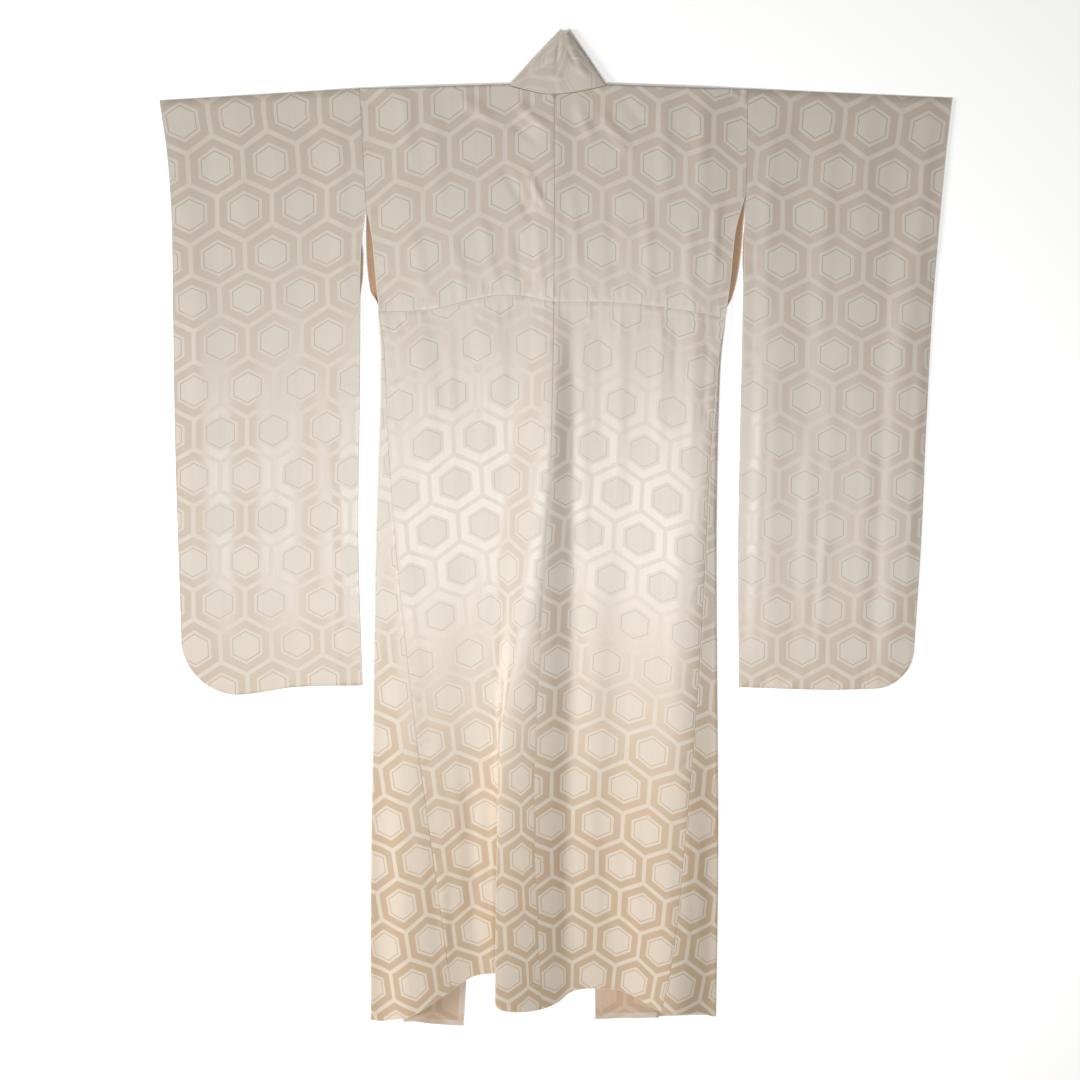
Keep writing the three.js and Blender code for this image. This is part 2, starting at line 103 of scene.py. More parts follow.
# %% [markdown]
# ## Camera
# The photograph looks almost straight down on the cloth: the hexagons keep nearly the same size from
# collar to hem, and only the slight spread of the upper half says that the camera stands a little towards
# the collar. A 50 mm lens at 2.6 m, tipped 14.3 degrees, gives that view.

# %% Camera
LENS = 50
DISTANCE = 2.6
TILT = math.radians(14.3)
target = spot(-23, 757, 0)
camera_data = bpy.data.cameras.new("camera")
camera_data.lens = LENS
camera_data.sensor_width = 36
camera = bpy.data.objects.new("camera", camera_data)
bpy.context.scene.collection.objects.link(camera)
camera.location = target + Vector((0, DISTANCE * math.sin(TILT), DISTANCE * math.cos(TILT)))
camera.rotation_euler = (-TILT, 0, 0)
bpy.context.scene.camera = camera
print("camera at", camera.location)

# %% [markdown]
# ## Lines of the cut
# These are the garment's seams and edges as it lies: the centre back, the side seams, the outline where
# each front panel turns round the side, and the free edges beside the armholes. They are the same lines
# that the solids follow. Only the waist's seam is drawn here alone, because it is too shallow for a solid.

# %% Lines of the cut
CLOTH = 1.6
COLLAR_CLOTH = 2.0
OVER_COLLAR_CLOTH = 1.2
COLLAR_GAP = 0.7
SEAM_GAP = 0.06
LAYER_GAP = 0.4
BODY_LENGTH = 1690
OVERLAP_START = 262
COLLAR_END = 870
OVER_COLLAR_END = 420
COLLAR_WIDTH = 55
CUFF_OPENING = 230
FLOOR = CLOTH / 2
BACK_HEIGHT = 7.8
EDGE_HEIGHT = 4.4

CENTRE_SEAM = [(16, 0), (347, 0), (640, -6), (770, -14), (984, -18), (1300, -21), (1690, -9)]
LEFT = dict(
    sign=-1,
    width=281,
    neckline=[(16, 0), (14.5, 24), (9.5, 47), (4, 71)],
    armhole=[(7, -313), (193, -308)],
    seam=[(361, -291), (418, -284), (581, -281), (757, -273), (946, -259), (1124, -244), (1308, -226),
          (1690, -188)],
    outline=[(361, -293), (453, -291), (757, -307), (1074, -320), (1411, -334), (1690, -342)],
    back_edge=[(193, -308), (243, -300), (304, -296), (361, -291)],
    front_edge=[(193, -308), (272, -310), (327, -306), (350, -300), (361, -293)],
    front_inner=[(0, -71), (OVERLAP_START, -75), (500, -83), (870, -120), (1690, -248)],
    overlap_edge=[(OVERLAP_START, -74), (500, -75), (870, -112), (1690, -167)],
)
RIGHT = dict(
    sign=1,
    width=284,
    neckline=[(16, 0), (13.5, 32), (8, 60), (4, 82)],
    armhole=[(8, 311), (171, 314)],
    seam=[(375, 284), (435, 276), (509, 271), (640, 265), (818, 262), (1074, 254), (1308, 241), (1552, 224),
          (1690, 203)],
    outline=[(375, 286), (452, 280), (656, 280), (882, 286), (1342, 302), (1690, 308)],
    back_edge=[(171, 314), (226, 300), (262, 296), (304, 293), (375, 284)],
    front_edge=[(171, 314), (220, 311.5), (263, 309.5), (305, 305), (333, 299), (375, 286)],
    front_inner=[(0, 82), (OVERLAP_START, 75), (500, 62), (870, 73), (1690, 173)],
    overlap_edge=[(OVERLAP_START, 74), (500, 54), (870, 65), (1690, 81)],
)
WAIST = [(-287, 364), (-234, 362), (-206, 360), (-131, 343), (-91, 336), (-50, 338), (-23, 343), (0, 347),
         (80, 347), (149, 352), (218, 361), (288, 375)]
HEM = [
    (-342, 1687), (-320, 1688), (-295, 1679), (-262, 1667), (-223, 1642), (-190, 1621), (-151, 1596),
    (-118, 1590), (-96, 1590), (-78, 1602), (-64, 1634), (-44, 1648), (-14, 1653), (12, 1645), (32, 1629),
    (55, 1622), (90, 1621), (118, 1623), (147, 1631), (176, 1645), (210, 1661), (244, 1664), (278, 1668),
    (297, 1678), (308, 1680),
]
FRONT_HEM = [(-342, 1687), (-271, 1690), (-213, 1700), (-167, 1703), (81, 1690), (186, 1684), (308, 1680)]
HEM_LIFT_START = 560


def edge_line(sewn, free, down):
    """A line that is sewn to the sleeve down to the armhole's end, and free below it."""
    (top_down, top_x), (end_down, end_x) = sewn
    if down > end_down:
        return along(free, down)
    return mix(top_x, end_x, (down - top_down) / (end_down - top_down))


print("shoulder width:", LEFT["armhole"][0][1], "to", RIGHT["armhole"][0][1], "mm")

# %% [markdown]
# ## Folds of the skirt
# Below the waist the cloth is wider than the place that it lies in, so it rises into long soft folds. The
# largest are in the solids too. Each fold is a row of stations down its crest, with its height, the width
# of each slope and how far the crest leans to the left, which makes the roll beside the centre seam.

# %% Large folds, as in the solids
STATION = ("down", "x", "height", "left", "right", "lean")
FOLDS = dict(
    left_side=[(640, -262, 0, 40, 60, 0), (1150, -268, 9, 50, 110, 0), (1690, -262, 20, 72, 142, 0)],
    left_gather=[(364, -222, 0, 36, 36, 0), (450, -222, 3.2, 46, 44, 0), (600, -222, 2.6, 50, 48, 0),
                 (760, -226, 0, 50, 40, 0)],
    middle_gather=[(340, -90, 0, 34, 32, 0), (440, -94, 2.6, 40, 36, 0), (620, -96, 0, 44, 40, 0)],
    centre_roll=[(352, -3, 2, 60, 38, 0), (430, -4, 6.5, 66, 44, 0), (540, -8, 12, 70, 50, 0),
                 (760, -28, 16, 74, 70, 0), (940, -46, 19, 68, 88, 8), (1120, -60, 24, 56, 100, 24),
                 (1400, -64, 31, 46, 106, 34), (1690, -62, 38, 38, 108, 42)],
    right_side=[(360, 236, 0, 100, 44, 0), (560, 246, 6, 124, 60, 0), (900, 232, 10, 130, 70, 0),
                (1200, 226, 14, 130, 78, 0), (1690, 222, 22, 112, 84, 0)],
)


@functools.lru_cache(maxsize=None)
def stations(down):
    """Every fold's measures at a place down the garment."""
    read = []
    for fold in FOLDS.values():
        keys = [[(row[0], row[k]) for row in fold] for k in range(1, len(STATION))]
        read.append(tuple(along(key, down) for key in keys))
    return read


def base_height(x, down):
    middle = ease((305 - abs(x)) / 70)
    skirt = ease((down - 300) / 110)
    return mix(EDGE_HEIGHT, BACK_HEIGHT, max(middle, skirt))


print("folds:", ", ".join(FOLDS))

# %% [markdown]
# ## Creases
# Silk that has hung and been folded keeps many small creases. The main ones are placed where the
# photograph shows them, as soft ridges (height above nought) and troughs (below nought) along a line. The
# short puckers along the waist seam, the armholes and the side seams are drawn at uneven steps from a
# fixed seed, so that they come out the same on every run.

# %% Creases, listed one by one
CREASE = ("x0", "down0", "x1", "down1", "half_width", "height")
CREASES = [
    # upper back
    (-62, 30, -6, 72, 13, 2.2), (-70, 60, -18, 96, 9, -1.3), (-46, 134, -14, 196, 9, 2.3),
    (-84, 130, -26, 230, 12, -1.2), (-150, 22, -96, 60, 16, 1.3), (-240, 18, -236, 120, 18, 1.2),
    (-196, 24, -188, 210, 22, 1.0), (-120, 200, -96, 330, 16, 1.1), (-60, 230, -52, 330, 14, -1.1),
    (-28, 210, -22, 336, 12, 1.2), (-160, 250, -150, 340, 14, 1.1), (-230, 230, -214, 352, 18, 1.2),
    (34, 26, 62, 90, 14, 1.6), (70, 40, 128, 116, 15, 1.3), (110, 24, 150, 70, 14, -0.9),
    (176, 18, 182, 200, 20, 1.1), (236, 22, 240, 190, 20, 1.2), (26, 150, 40, 320, 16, 1.1),
    (92, 170, 102, 330, 18, -0.9), (150, 190, 160, 340, 16, 1.2), (222, 210, 226, 354, 18, 1.1),
    (268, 180, 262, 330, 12, 1.3),
    # skirt, left
    (-262, 372, -256, 620, 15, 0.8), (-238, 372, -236, 560, 10, -0.5), (-160, 366, -158, 540, 18, -0.7),
    (-176, 362, -170, 700, 18, 1.0), (-142, 352, -138, 560, 14, -0.8), (-120, 348, -116, 680, 17, 1.1),
    (-60, 344, -58, 600, 16, 0.6), (-36, 346, -40, 470, 12, -0.5), (-236, 620, -224, 1040, 28, -1.0),
    (-196, 700, -190, 1180, 30, 1.1), (-150, 640, -146, 1240, 32, -1.1), (-112, 760, -118, 1320, 25, 1.3),
    (-232, 1080, -206, 1640, 25, -1.3), (-176, 1200, -160, 1650, 21, 1.4),
    (-132, 1290, -126, 1650, 16, 1.6), (-150, 1180, -140, 1650, 44, -2.4),
    (-206, 1420, -192, 1660, 14, 1.2), (-96, 1260, -98, 1640, 14, -1.4),
    (-72, 1380, -70, 1640, 9, 1.6),
    # skirt, right
    (46, 356, 50, 820, 20, 1.0), (80, 360, 82, 620, 15, -0.7),
    (112, 360, 112, 700, 18, 0.8), (178, 366, 178, 620, 17, 0.9), (206, 366, 204, 520, 12, -0.9),
    (236, 372, 232, 640, 15, 0.9), (258, 380, 252, 560, 9, -0.7), (30, 760, 34, 1640, 38, -3.8),
    (36, 700, 42, 1180, 23, -1.0), (72, 820, 84, 1400, 30, 1.1), (120, 780, 134, 1300, 34, -0.9),
    (214, 700, 214, 1240, 28, 1.0),
    (40, 1180, 52, 1640, 21, 1.3), (86, 1260, 108, 1630, 23, -1.3), (142, 1300, 166, 1640, 21, 1.2),
    (226, 1260, 236, 1660, 21, -1.2), (20, 1340, 26, 1640, 12, -1.2), (262, 1300, 280, 1660, 18, 1.1),
]
draw = random.Random(34)
for x in range(-282, 284, 21):
    here = x + draw.uniform(-6, 6)
    seam = along(WAIST, here)
    reach = draw.uniform(22, 70)
    CREASES.append((here, seam + 2, here + draw.uniform(-5, 5), seam + reach, draw.uniform(4.5, 7),
                    draw.uniform(0.2, 0.9) * draw.choice((1, 1, -1))))
    CREASES.append((here + 7, seam - 3, here + draw.uniform(2, 12), seam - reach * 0.6,
                    draw.uniform(4.5, 7), draw.uniform(0.3, 0.8)))
for side in (LEFT, RIGHT):
    for down in range(420, 1660, 38):
        here = down + draw.uniform(-12, 12)
        seam = along(side["seam"], here)
        CREASES.append((seam - side["sign"] * 2, here, seam - side["sign"] * draw.uniform(16, 34),
                        here + draw.uniform(-16, 16), draw.uniform(5, 8), draw.uniform(-0.7, 0.8)))
    for down in range(30, 340, 24):
        here = down + draw.uniform(-8, 8)
        edge = edge_line(side["armhole"], side["back_edge"], here)
        CREASES.append((edge - side["sign"] * 2, here, edge - side["sign"] * draw.uniform(18, 46),
                        here + draw.uniform(-20, 20), draw.uniform(5, 9), draw.uniform(-0.6, 0.9)))
for down in range(380, 1640, 46):
    here = down + draw.uniform(-14, 14)
    seam = along(CENTRE_SEAM, here)
    CREASES.append((seam - draw.uniform(14, 24), here + draw.uniform(-14, 14), seam + draw.uniform(14, 26),
                    here + draw.uniform(-14, 14), draw.uniform(5, 8), draw.uniform(-0.7, 0.7)))
print(len(CREASES), "creases on the back, each with", ", ".join(CREASE))

# %% [markdown]
# To read the relief at a place, each crease near it adds a soft bump across its line that fades at both
# ends. A list of creases for every band of 40 mm keeps this quick.

# %% Relief from creases
BAND = 40


def in_bands(creases):
    bands = {}
    for crease in creases:
        low = min(crease[1], crease[3]) - crease[4]
        high = max(crease[1], crease[3]) + crease[4]
        for band in range(int(low // BAND), int(high // BAND) + 1):
            bands.setdefault(band, []).append(crease)
    return bands


def crease_height(bands, x, down):
    total = 0.0
    for x0, d0, x1, d1, half, height in bands.get(int(down // BAND), ()):
        dx, dd = x1 - x0, d1 - d0
        length = math.hypot(dx, dd)
        t = ((x - x0) * dx + (down - d0) * dd) / (length * length)
        if not -0.1 < t < 1.1:
            continue
        off = abs((x - x0) * dd - (down - d0) * dx) / length
        if off < half:
            total += height * bump(off / half) * ease((t + 0.1) / 0.35) * ease((1.1 - t) / 0.45)
    return total


back_bands = in_bands(CREASES)
print("relief beside the waist seam:", round(crease_height(back_bands, -198, 450), 2), "mm")

# %% [markdown]
# ## The back's surface
# One function gives the surface of the whole back at a flat place: the large folds, the hem drawn up in
# the troughs, the creases, and the fine grooves where pieces are sewn. The two back panels then meet at
# the centre seam whatever the folds do there.

# %% The back's surface
SEAM_GROOVE = 0.2


def seam_relief(x, down):
    groove = -SEAM_GROOVE * bump((x - along(CENTRE_SEAM, down)) / 3.2)
    side = LEFT if x < 0 else RIGHT
    if down > side["seam"][0][0]:
        groove -= SEAM_GROOVE * bump((x - along(side["seam"], down)) / 3.6)
    below = down - along(WAIST, x)
    tuck = -0.2 * bump(below / 3.2) + 0.15 * bump((below - 7) / 8)
    return groove + tuck


def back_place(x, down):
    """The surface in garment measures: across, down and height."""
    place = x
    height = base_height(x, down)
    for crest, high, left, right, lean in stations(round(down * 2) / 2):
        rise = bump((x - crest) / (left if x < crest else right))
        height += high * rise
        place -= lean * rise * rise
    share = ease((down - HEM_LIFT_START) / (BODY_LENGTH - HEM_LIFT_START))
    lift = (BODY_LENGTH - along(HEM, x)) * share
    height += crease_height(back_bands, x, down) + seam_relief(x, down)
    return place, down - lift, height


def front_down(x, down):
    share = ease((down - HEM_LIFT_START) / (BODY_LENGTH - HEM_LIFT_START))
    return down + (along(FRONT_HEM, x) - BODY_LENGTH) * share


print("the roll at the hem, in mm:", [round(k) for k in back_place(-46, 1690)])

# %% [markdown]
# ## Making a sheet
# Each sheet starts as a flat bmesh grid. Its vertices then move to the places that a table of rows gives,
# and three things are written on it for the material: a UV map in metres of cloth, so that the woven
# figure follows every fold, and two distances, to the nearest sewn seam and to the nearest free edge. A
# Solidify modifier gives the silk its thickness, with a second material for its reverse. The open edges
# are marked sharp, so that the thin rim doesn't tilt the shading beside the seams.

# %% Making a sheet
SILK = 0.9 * MM
FAR = 999.0


def steps(*spans):
    """Places from spans of (start, end, step)."""
    places = []
    for start, end, step in spans:
        count = max(1, round(abs(end - start) / step))
        places += [mix(start, end, k / count) for k in range(count)]
    return places + [spans[-1][1]]


def arc(points):
    """Running length in mm along a row of points."""
    lengths = [0.0]
    for a, b in zip(points, points[1:]):
        lengths.append(lengths[-1] + (b - a).length / MM)
    return lengths


class Rows:
    """The rows of a sheet as they are worked out: places, cloth measures and distances."""

    def __init__(self):
        self.places, self.cloth, self.seams, self.edges = [], [], [], []

    def add(self, places, cloth, seams, edges):
        self.places.append(places)
        self.cloth.append([(u * MM, v * MM) for u, v in cloth])
        self.seams.append(seams)
        self.edges.append(edges)


def make_sheet(name, rows, flip=False, looped=False, thickness=SILK):
    count, columns = len(rows.places), len(rows.places[0])
    bm = bmesh.new()
    bmesh.ops.create_grid(bm, x_segments=columns - 1, y_segments=count - 1, size=0.5)
    uv = bm.loops.layers.uv.new("cloth")
    seam = bm.verts.layers.float.new("seam")
    edge = bm.verts.layers.float.new("edge")
    index = {}
    for v in bm.verts:
        index[v] = round((v.co.y + 0.5) * (count - 1)), round((v.co.x + 0.5) * (columns - 1))
    for face in bm.faces:
        for loop in face.loops:
            r, c = index[loop.vert]
            loop[uv].uv = rows.cloth[r][c]
    for v, (r, c) in index.items():
        v.co = rows.places[r][c]
        v[seam] = rows.seams[r][c]
        v[edge] = rows.edges[r][c]
    if looped:
        ends = [v for v, (r, c) in index.items() if r in (0, count - 1)]
        bmesh.ops.remove_doubles(bm, verts=ends, dist=0.02 * MM)
    if flip:
        bmesh.ops.reverse_faces(bm, faces=bm.faces)
    for face in bm.faces:
        face.smooth = True
    for rim_edge in bm.edges:
        rim_edge.smooth = not rim_edge.is_boundary
    mesh = bpy.data.meshes.new(name)
    bm.to_mesh(mesh)
    bm.free()
    piece = bpy.data.objects.new(name, mesh)
    bpy.context.scene.collection.objects.link(piece)
    shell = piece.modifiers.new("silk", "SOLIDIFY")
    shell.thickness = thickness
    shell.offset = 0
    shell.material_offset = 1
    print(name, count, "x", columns, "grid points")
    return piece


# %% [markdown]
# ## The woven figure's place on each panel
# The hexagons repeat every 90 mm across the cloth and every 78 mm along it. Where they fall on a panel
# depends on how it was cut, so each zone has its own start, read from the photograph: how far its hexagons
# are shifted across and along, and how much the cloth is stretched along its length. Their rows also rise
# towards the centre of the back, because the cloth hangs from the shoulders.

# %% Figure starts for each zone
REPEAT, ROW = 90.0, 78.0
START = ("across", "lengthwise", "stretch")
STARTS = dict(
    upper_left=(80, 146, 1.0), upper_right=(57, 119, 1.05),
    lower_left=(80, 125, 1.01), lower_right=(58, 108, 1.01),
    front_left=(60, -15, 0.95), front_right=(-26, -94, 0.95),
)
RISE_OF_ROWS = dict(
    upper=[(0, 0), (100, 8.5), (200, 24), (310, 49)],
    lower_left=[(0, 0), (100, 1), (150, 4), (200, 13), (260, 26), (350, 44)],
    lower_right=[(0, 0), (65, 2), (95, 5), (150, 11), (220, 24), (310, 46)],
)


def figure_place(zone, rise, across, x, down):
    """Where a point of a body panel falls in the woven figure."""
    shift, start, stretch = STARTS[zone]
    return across + shift, stretch * down - along(RISE_OF_ROWS[rise], abs(x)) + start


print("figure repeat:", REPEAT, "x", 2 * ROW, "mm; each zone has", ", ".join(START))

# %% [markdown]
# ## Body panels
# A kimono's body panel is one length of silk. It starts at the back hem, goes up over the shoulder and
# comes down again as the front, which lies underneath here. The front is wider than the back, so it
# turns round the side and meets the back at the side seam, a little way in from the outline.

# %% Back half of a body panel
FLOOR_COLUMNS, TURN_COLUMNS, TOP_COLUMNS = 28, 10, 34
BODY_COLUMNS = FLOOR_COLUMNS + TURN_COLUMNS + TOP_COLUMNS
BACK_SHARES = [c / BODY_COLUMNS for c in range(BODY_COLUMNS + 1)]
NECK_ROWS, NECK_REACH = 8, 71
WAIST_LEVEL, WAIST_REACH = 361, 150
SEAM_SHIFT = 17


def waist_shift(x, level):
    """Rows near the waist follow its seam."""
    return (along(WAIST, x) - WAIST_LEVEL) * ease(1 - abs(level - WAIST_LEVEL) / WAIST_REACH)


def back_row(side, rows, inner, outer):
    """One row of the back from an inner to an outer flat place."""
    sign = side["sign"]
    start, armhole_end = side["seam"][0][0], side["armhole"][1][0]
    half = "left" if sign < 0 else "right"
    flat = [(mix(inner[0], outer[0], t), mix(inner[1], outer[1], t)) for t in BACK_SHARES]
    flat = [(x, down + waist_shift(x, down)) for x, down in flat]
    at = [back_place(x, down) for x, down in flat]
    places = [spot(*place) for place in at]
    lengths = arc(places)
    width = lengths[-1]
    slack = side["width"] - width if outer[1] > start else 0
    from_centre = abs(inner[0]) if inner[1] <= side["neckline"][0][0] else 0
    roll = stations(round(inner[1] * 2) / 2)[3]
    near_seam = SEAM_SHIFT * ease((inner[1] - 900) / 150)
    neckline = [(x, down) for down, x in side["neckline"]]
    cloth, seams, edges = [], [], []
    for (x, down), (place_x, place_down, _), s in zip(flat, at, lengths):
        from_waist = down - along(WAIST, x)
        across = from_centre + s + slack * s / width
        if sign < 0:
            past_roll = ease((roll[0] - x) / roll[2])
            across = from_centre + s + near_seam * ease(s / 40) + (slack - near_seam) * past_roll
        if from_waist < 0:
            cloth.append(figure_place("upper_" + half, "upper", sign * across, place_x, place_down))
        else:
            cloth.append(figure_place("lower_" + half, "lower_" + half, sign * across, place_x, place_down))
        sewn = outer[1] > start or outer[1] < armhole_end
        neck = down - along(neckline, abs(x)) if abs(x) < NECK_REACH else FAR
        centre = s + 0.7 * ease((down - 520) / 160)
        side_seam = width - s + 0.4 if sewn else FAR
        seams.append(min(centre, side_seam, abs(from_waist), neck))
        edges.append(min(BODY_LENGTH - down, FAR if sewn else width - s))
    rows.add(places, cloth, seams, edges)
    return width


def back_half(side, rows):
    sign, inset = side["sign"], SEAM_GAP / 2
    start = side["seam"][0][0]
    for level in steps((BODY_LENGTH, 1672, 4), (1672, start + 26, 6.5), (start + 26, start - 24, 2.6),
                       (start - 24, 24, 6.5)):
        if level > start:
            outer = along(side["seam"], level) - sign * inset
        else:
            outer = edge_line(side["armhole"], side["back_edge"], level) - sign * inset
        inner = along(CENTRE_SEAM, level) + sign * inset
        back_row(side, rows, (inner, level), (outer, level))
    neckline = [(x, down) for down, x in side["neckline"]]
    outer_x, neck_x = side["armhole"][0][1] - sign * inset, side["neckline"][3][1]
    for k in range(NECK_ROWS + 1):
        x = neck_x * k / NECK_ROWS
        inner = sign * (x + inset), along(neckline, x)
        back_row(side, rows, inner, (outer_x, mix(20, side["armhole"][0][0] + 1.8, k / NECK_ROWS)))


trial = Rows()
print("width of the right back at the hem:", round(back_row(RIGHT, trial, (-9, 1690), (203, 1690))), "mm")

# %% [markdown]
# The shoulder is a half turn from the back's height down to the surface that the garment lies on. Below
# it, the front lies flat; beside the skirt, its outer part turns up round the side. The columns are
# shared out in the same way all down the front, so the cells stay even where that turn begins.

# %% Shoulder and front half of a body panel
SIDE_BLEND = 34
SHOULDER_ANGLES = [70, 50, 30, 10, -10, -30, -50, -70, -90]


def shoulder_turn(side, rows):
    sign, inset = side["sign"], SEAM_GAP / 2
    neck_x = side["neckline"][3][1] + inset
    shoulder_x = abs(side["armhole"][0][1]) - inset
    half = "left" if sign < 0 else "right"
    for angle in SHOULDER_ANGLES:
        turn = math.radians(angle)
        places, cloth = [], []
        for t in BACK_SHARES:
            x = mix(neck_x, shoulder_x, t)
            radius = (base_height(x, 0) - FLOOR) / 2
            down = mix(0.5, side["armhole"][0][0], t) + radius * (1 - math.cos(turn))
            places.append(spot(sign * x, down, FLOOR + radius * (1 + math.sin(turn))))
            rolled = mix(0.5, side["armhole"][0][0], t) + radius * turn
            cloth.append(figure_place("upper_" + half, "upper", sign * x, x, rolled))
        lengths = arc(places)
        seams = [min(s, lengths[-1] - s) for s in lengths]
        rows.add(places, cloth, seams, [FAR] * len(places))


def wrapped_row(side, level):
    """A row of the front: along the floor, round the side and in over the top to the side seam."""
    sign = side["sign"]
    inner = along(side["front_inner"], level) + sign * SEAM_GAP / 2
    seam_x = along(side["seam"], level) + sign * SEAM_GAP / 2
    outline = along(side["outline"], level)
    _, top_down, top = back_place(outline, level)
    radius = (top - FLOOR) / 2
    centre = outline - sign * radius
    hem = front_down(outline, level)
    row = []
    for c in range(FLOOR_COLUMNS):
        x = mix(inner, centre, c / FLOOR_COLUMNS)
        row.append(spot(x, front_down(x, level), FLOOR))
    for c in range(TURN_COLUMNS):
        turn = math.pi * (c / TURN_COLUMNS - 0.5)
        down = mix(hem, top_down, c / TURN_COLUMNS)
        x = centre + sign * radius * math.cos(turn)
        row.append(spot(x, down, FLOOR + radius * (1 + math.sin(turn))))
    for c in range(TOP_COLUMNS + 1):
        row.append(spot(*back_place(mix(centre, seam_x, c / TOP_COLUMNS), level)))
    return row


def front_half(side, rows):
    sign, inset = side["sign"], SEAM_GAP / 2
    start = side["seam"][0][0]
    reference = arc(wrapped_row(side, start))
    shares = [s / reference[-1] for s in reference]
    half = "left" if sign < 0 else "right"
    for level in steps((14, start - SIDE_BLEND, 14), (start - SIDE_BLEND, start + 20, 3.4),
                       (start + 20, 1660, 13), (1660, BODY_LENGTH, 5)):
        if level < start:
            inner = along(side["front_inner"], level) + sign * inset
            outer = edge_line(side["armhole"], side["front_edge"], level) - sign * inset
            places = [spot(mix(inner, outer, t), level, FLOOR) for t in shares]
            if level > start - SIDE_BLEND:
                blend = ease((level - start + SIDE_BLEND) / SIDE_BLEND)
                places = [a.lerp(b, blend) for a, b in zip(places, wrapped_row(side, level))]
        else:
            places = wrapped_row(side, level)
        lengths = arc(places)
        cloth = []
        for place, s in zip(places, lengths):
            x, down = place.x / MM + CENTRE_X, CENTRE_DOWN - place.y / MM
            u, v = figure_place("front_" + half, "lower_" + half, lengths[-1] - s, x, down)
            cloth.append((-sign * u, -v))
        sewn = level > start or level < side["armhole"][1][0]
        seams = [min(s, lengths[-1] - s if sewn else FAR) for s in lengths]
        edges = [min(BODY_LENGTH - level, FAR if sewn else lengths[-1] - s) for s in lengths]
        rows.add(places, cloth, seams, edges)


def body_panel(name, side):
    rows = Rows()
    back_half(side, rows)
    shoulder_turn(side, rows)
    front_half(side, rows)
    return make_sheet(name, rows, flip=side["sign"] < 0)


body_left = body_panel("body_left_silk", LEFT)
body_right = body_panel("body_right_silk", RIGHT)

# %% [markdown]
# ## Overlap panels
# The okumi widen each front. Here they lie folded back over the fronts and come in again, so at the hem
# their reverse shows beside the drawn-up back, with the turned edge along it.

# %% Overlap panels
FULL_WIDTH, TOP_WIDTH = 145, 14


def overlap_panel(name, side):
    sign = side["sign"]
    low = FLOOR + CLOTH + LAYER_GAP
    radius = (CLOTH + LAYER_GAP) / 2
    high = low + 2 * radius
    rows = Rows()
    for level in steps((OVERLAP_START, 1660, 12), (1660, BODY_LENGTH, 4)):
        widened = min(max((level - OVERLAP_START) / (COLLAR_END - OVERLAP_START), 0), 1)
        width = mix(TOP_WIDTH, FULL_WIDTH, widened)
        seam = along(side["front_inner"], level) + sign * 1.2
        free = along(side["overlap_edge"], level)
        fold = (width - abs(free - seam)) / 2
        fold_x = seam + sign * fold
        down = front_down(seam, level)
        places = [spot(mix(seam, fold_x - sign * radius, k / 4), down, low) for k in range(5)]
        for angle in (-45, 0, 45):
            turn = math.radians(angle)
            x = fold_x - sign * radius * (1 - math.cos(turn))
            places.append(spot(x, down, low + radius * (1 + math.sin(turn))))
        for k in range(1, 27):
            x = mix(fold_x - sign * radius, free, k / 26)
            past = (seam - sign * 1.5 - x) * sign
            drop = ease(past / max(6, abs(free - seam) * 0.6))
            wave = 0.8 * bump((level - 1560) / 130) * math.sin(x / 9) * ease(past / 20)
            places.append(spot(x, front_down(x, level), mix(high, FLOOR, drop) + max(wave, 0)))
        lengths = arc(places)
        below_collar = level > COLLAR_END
        seams = [min(s, FAR if below_collar else lengths[-1] - s) for s in lengths]
        edges = [min(BODY_LENGTH - level, lengths[-1] - s if below_collar else FAR) for s in lengths]
        rows.add(places, [(sign * s, level) for s in lengths], seams, edges)
    return make_sheet(name, rows, flip=sign > 0)


overlap_left = overlap_panel("overlap_left_silk", LEFT)
overlap_right = overlap_panel("overlap_right_silk", RIGHT)

# %% [markdown]
# ## Sleeves
# A kimono sleeve is one length of silk folded at the shoulder. It is sewn along the bottom and up the
# outer edge to the hand opening, with a round lower corner; the inner edge hangs open below the armhole,
# where the front layer stands out a few millimetres past the back one.

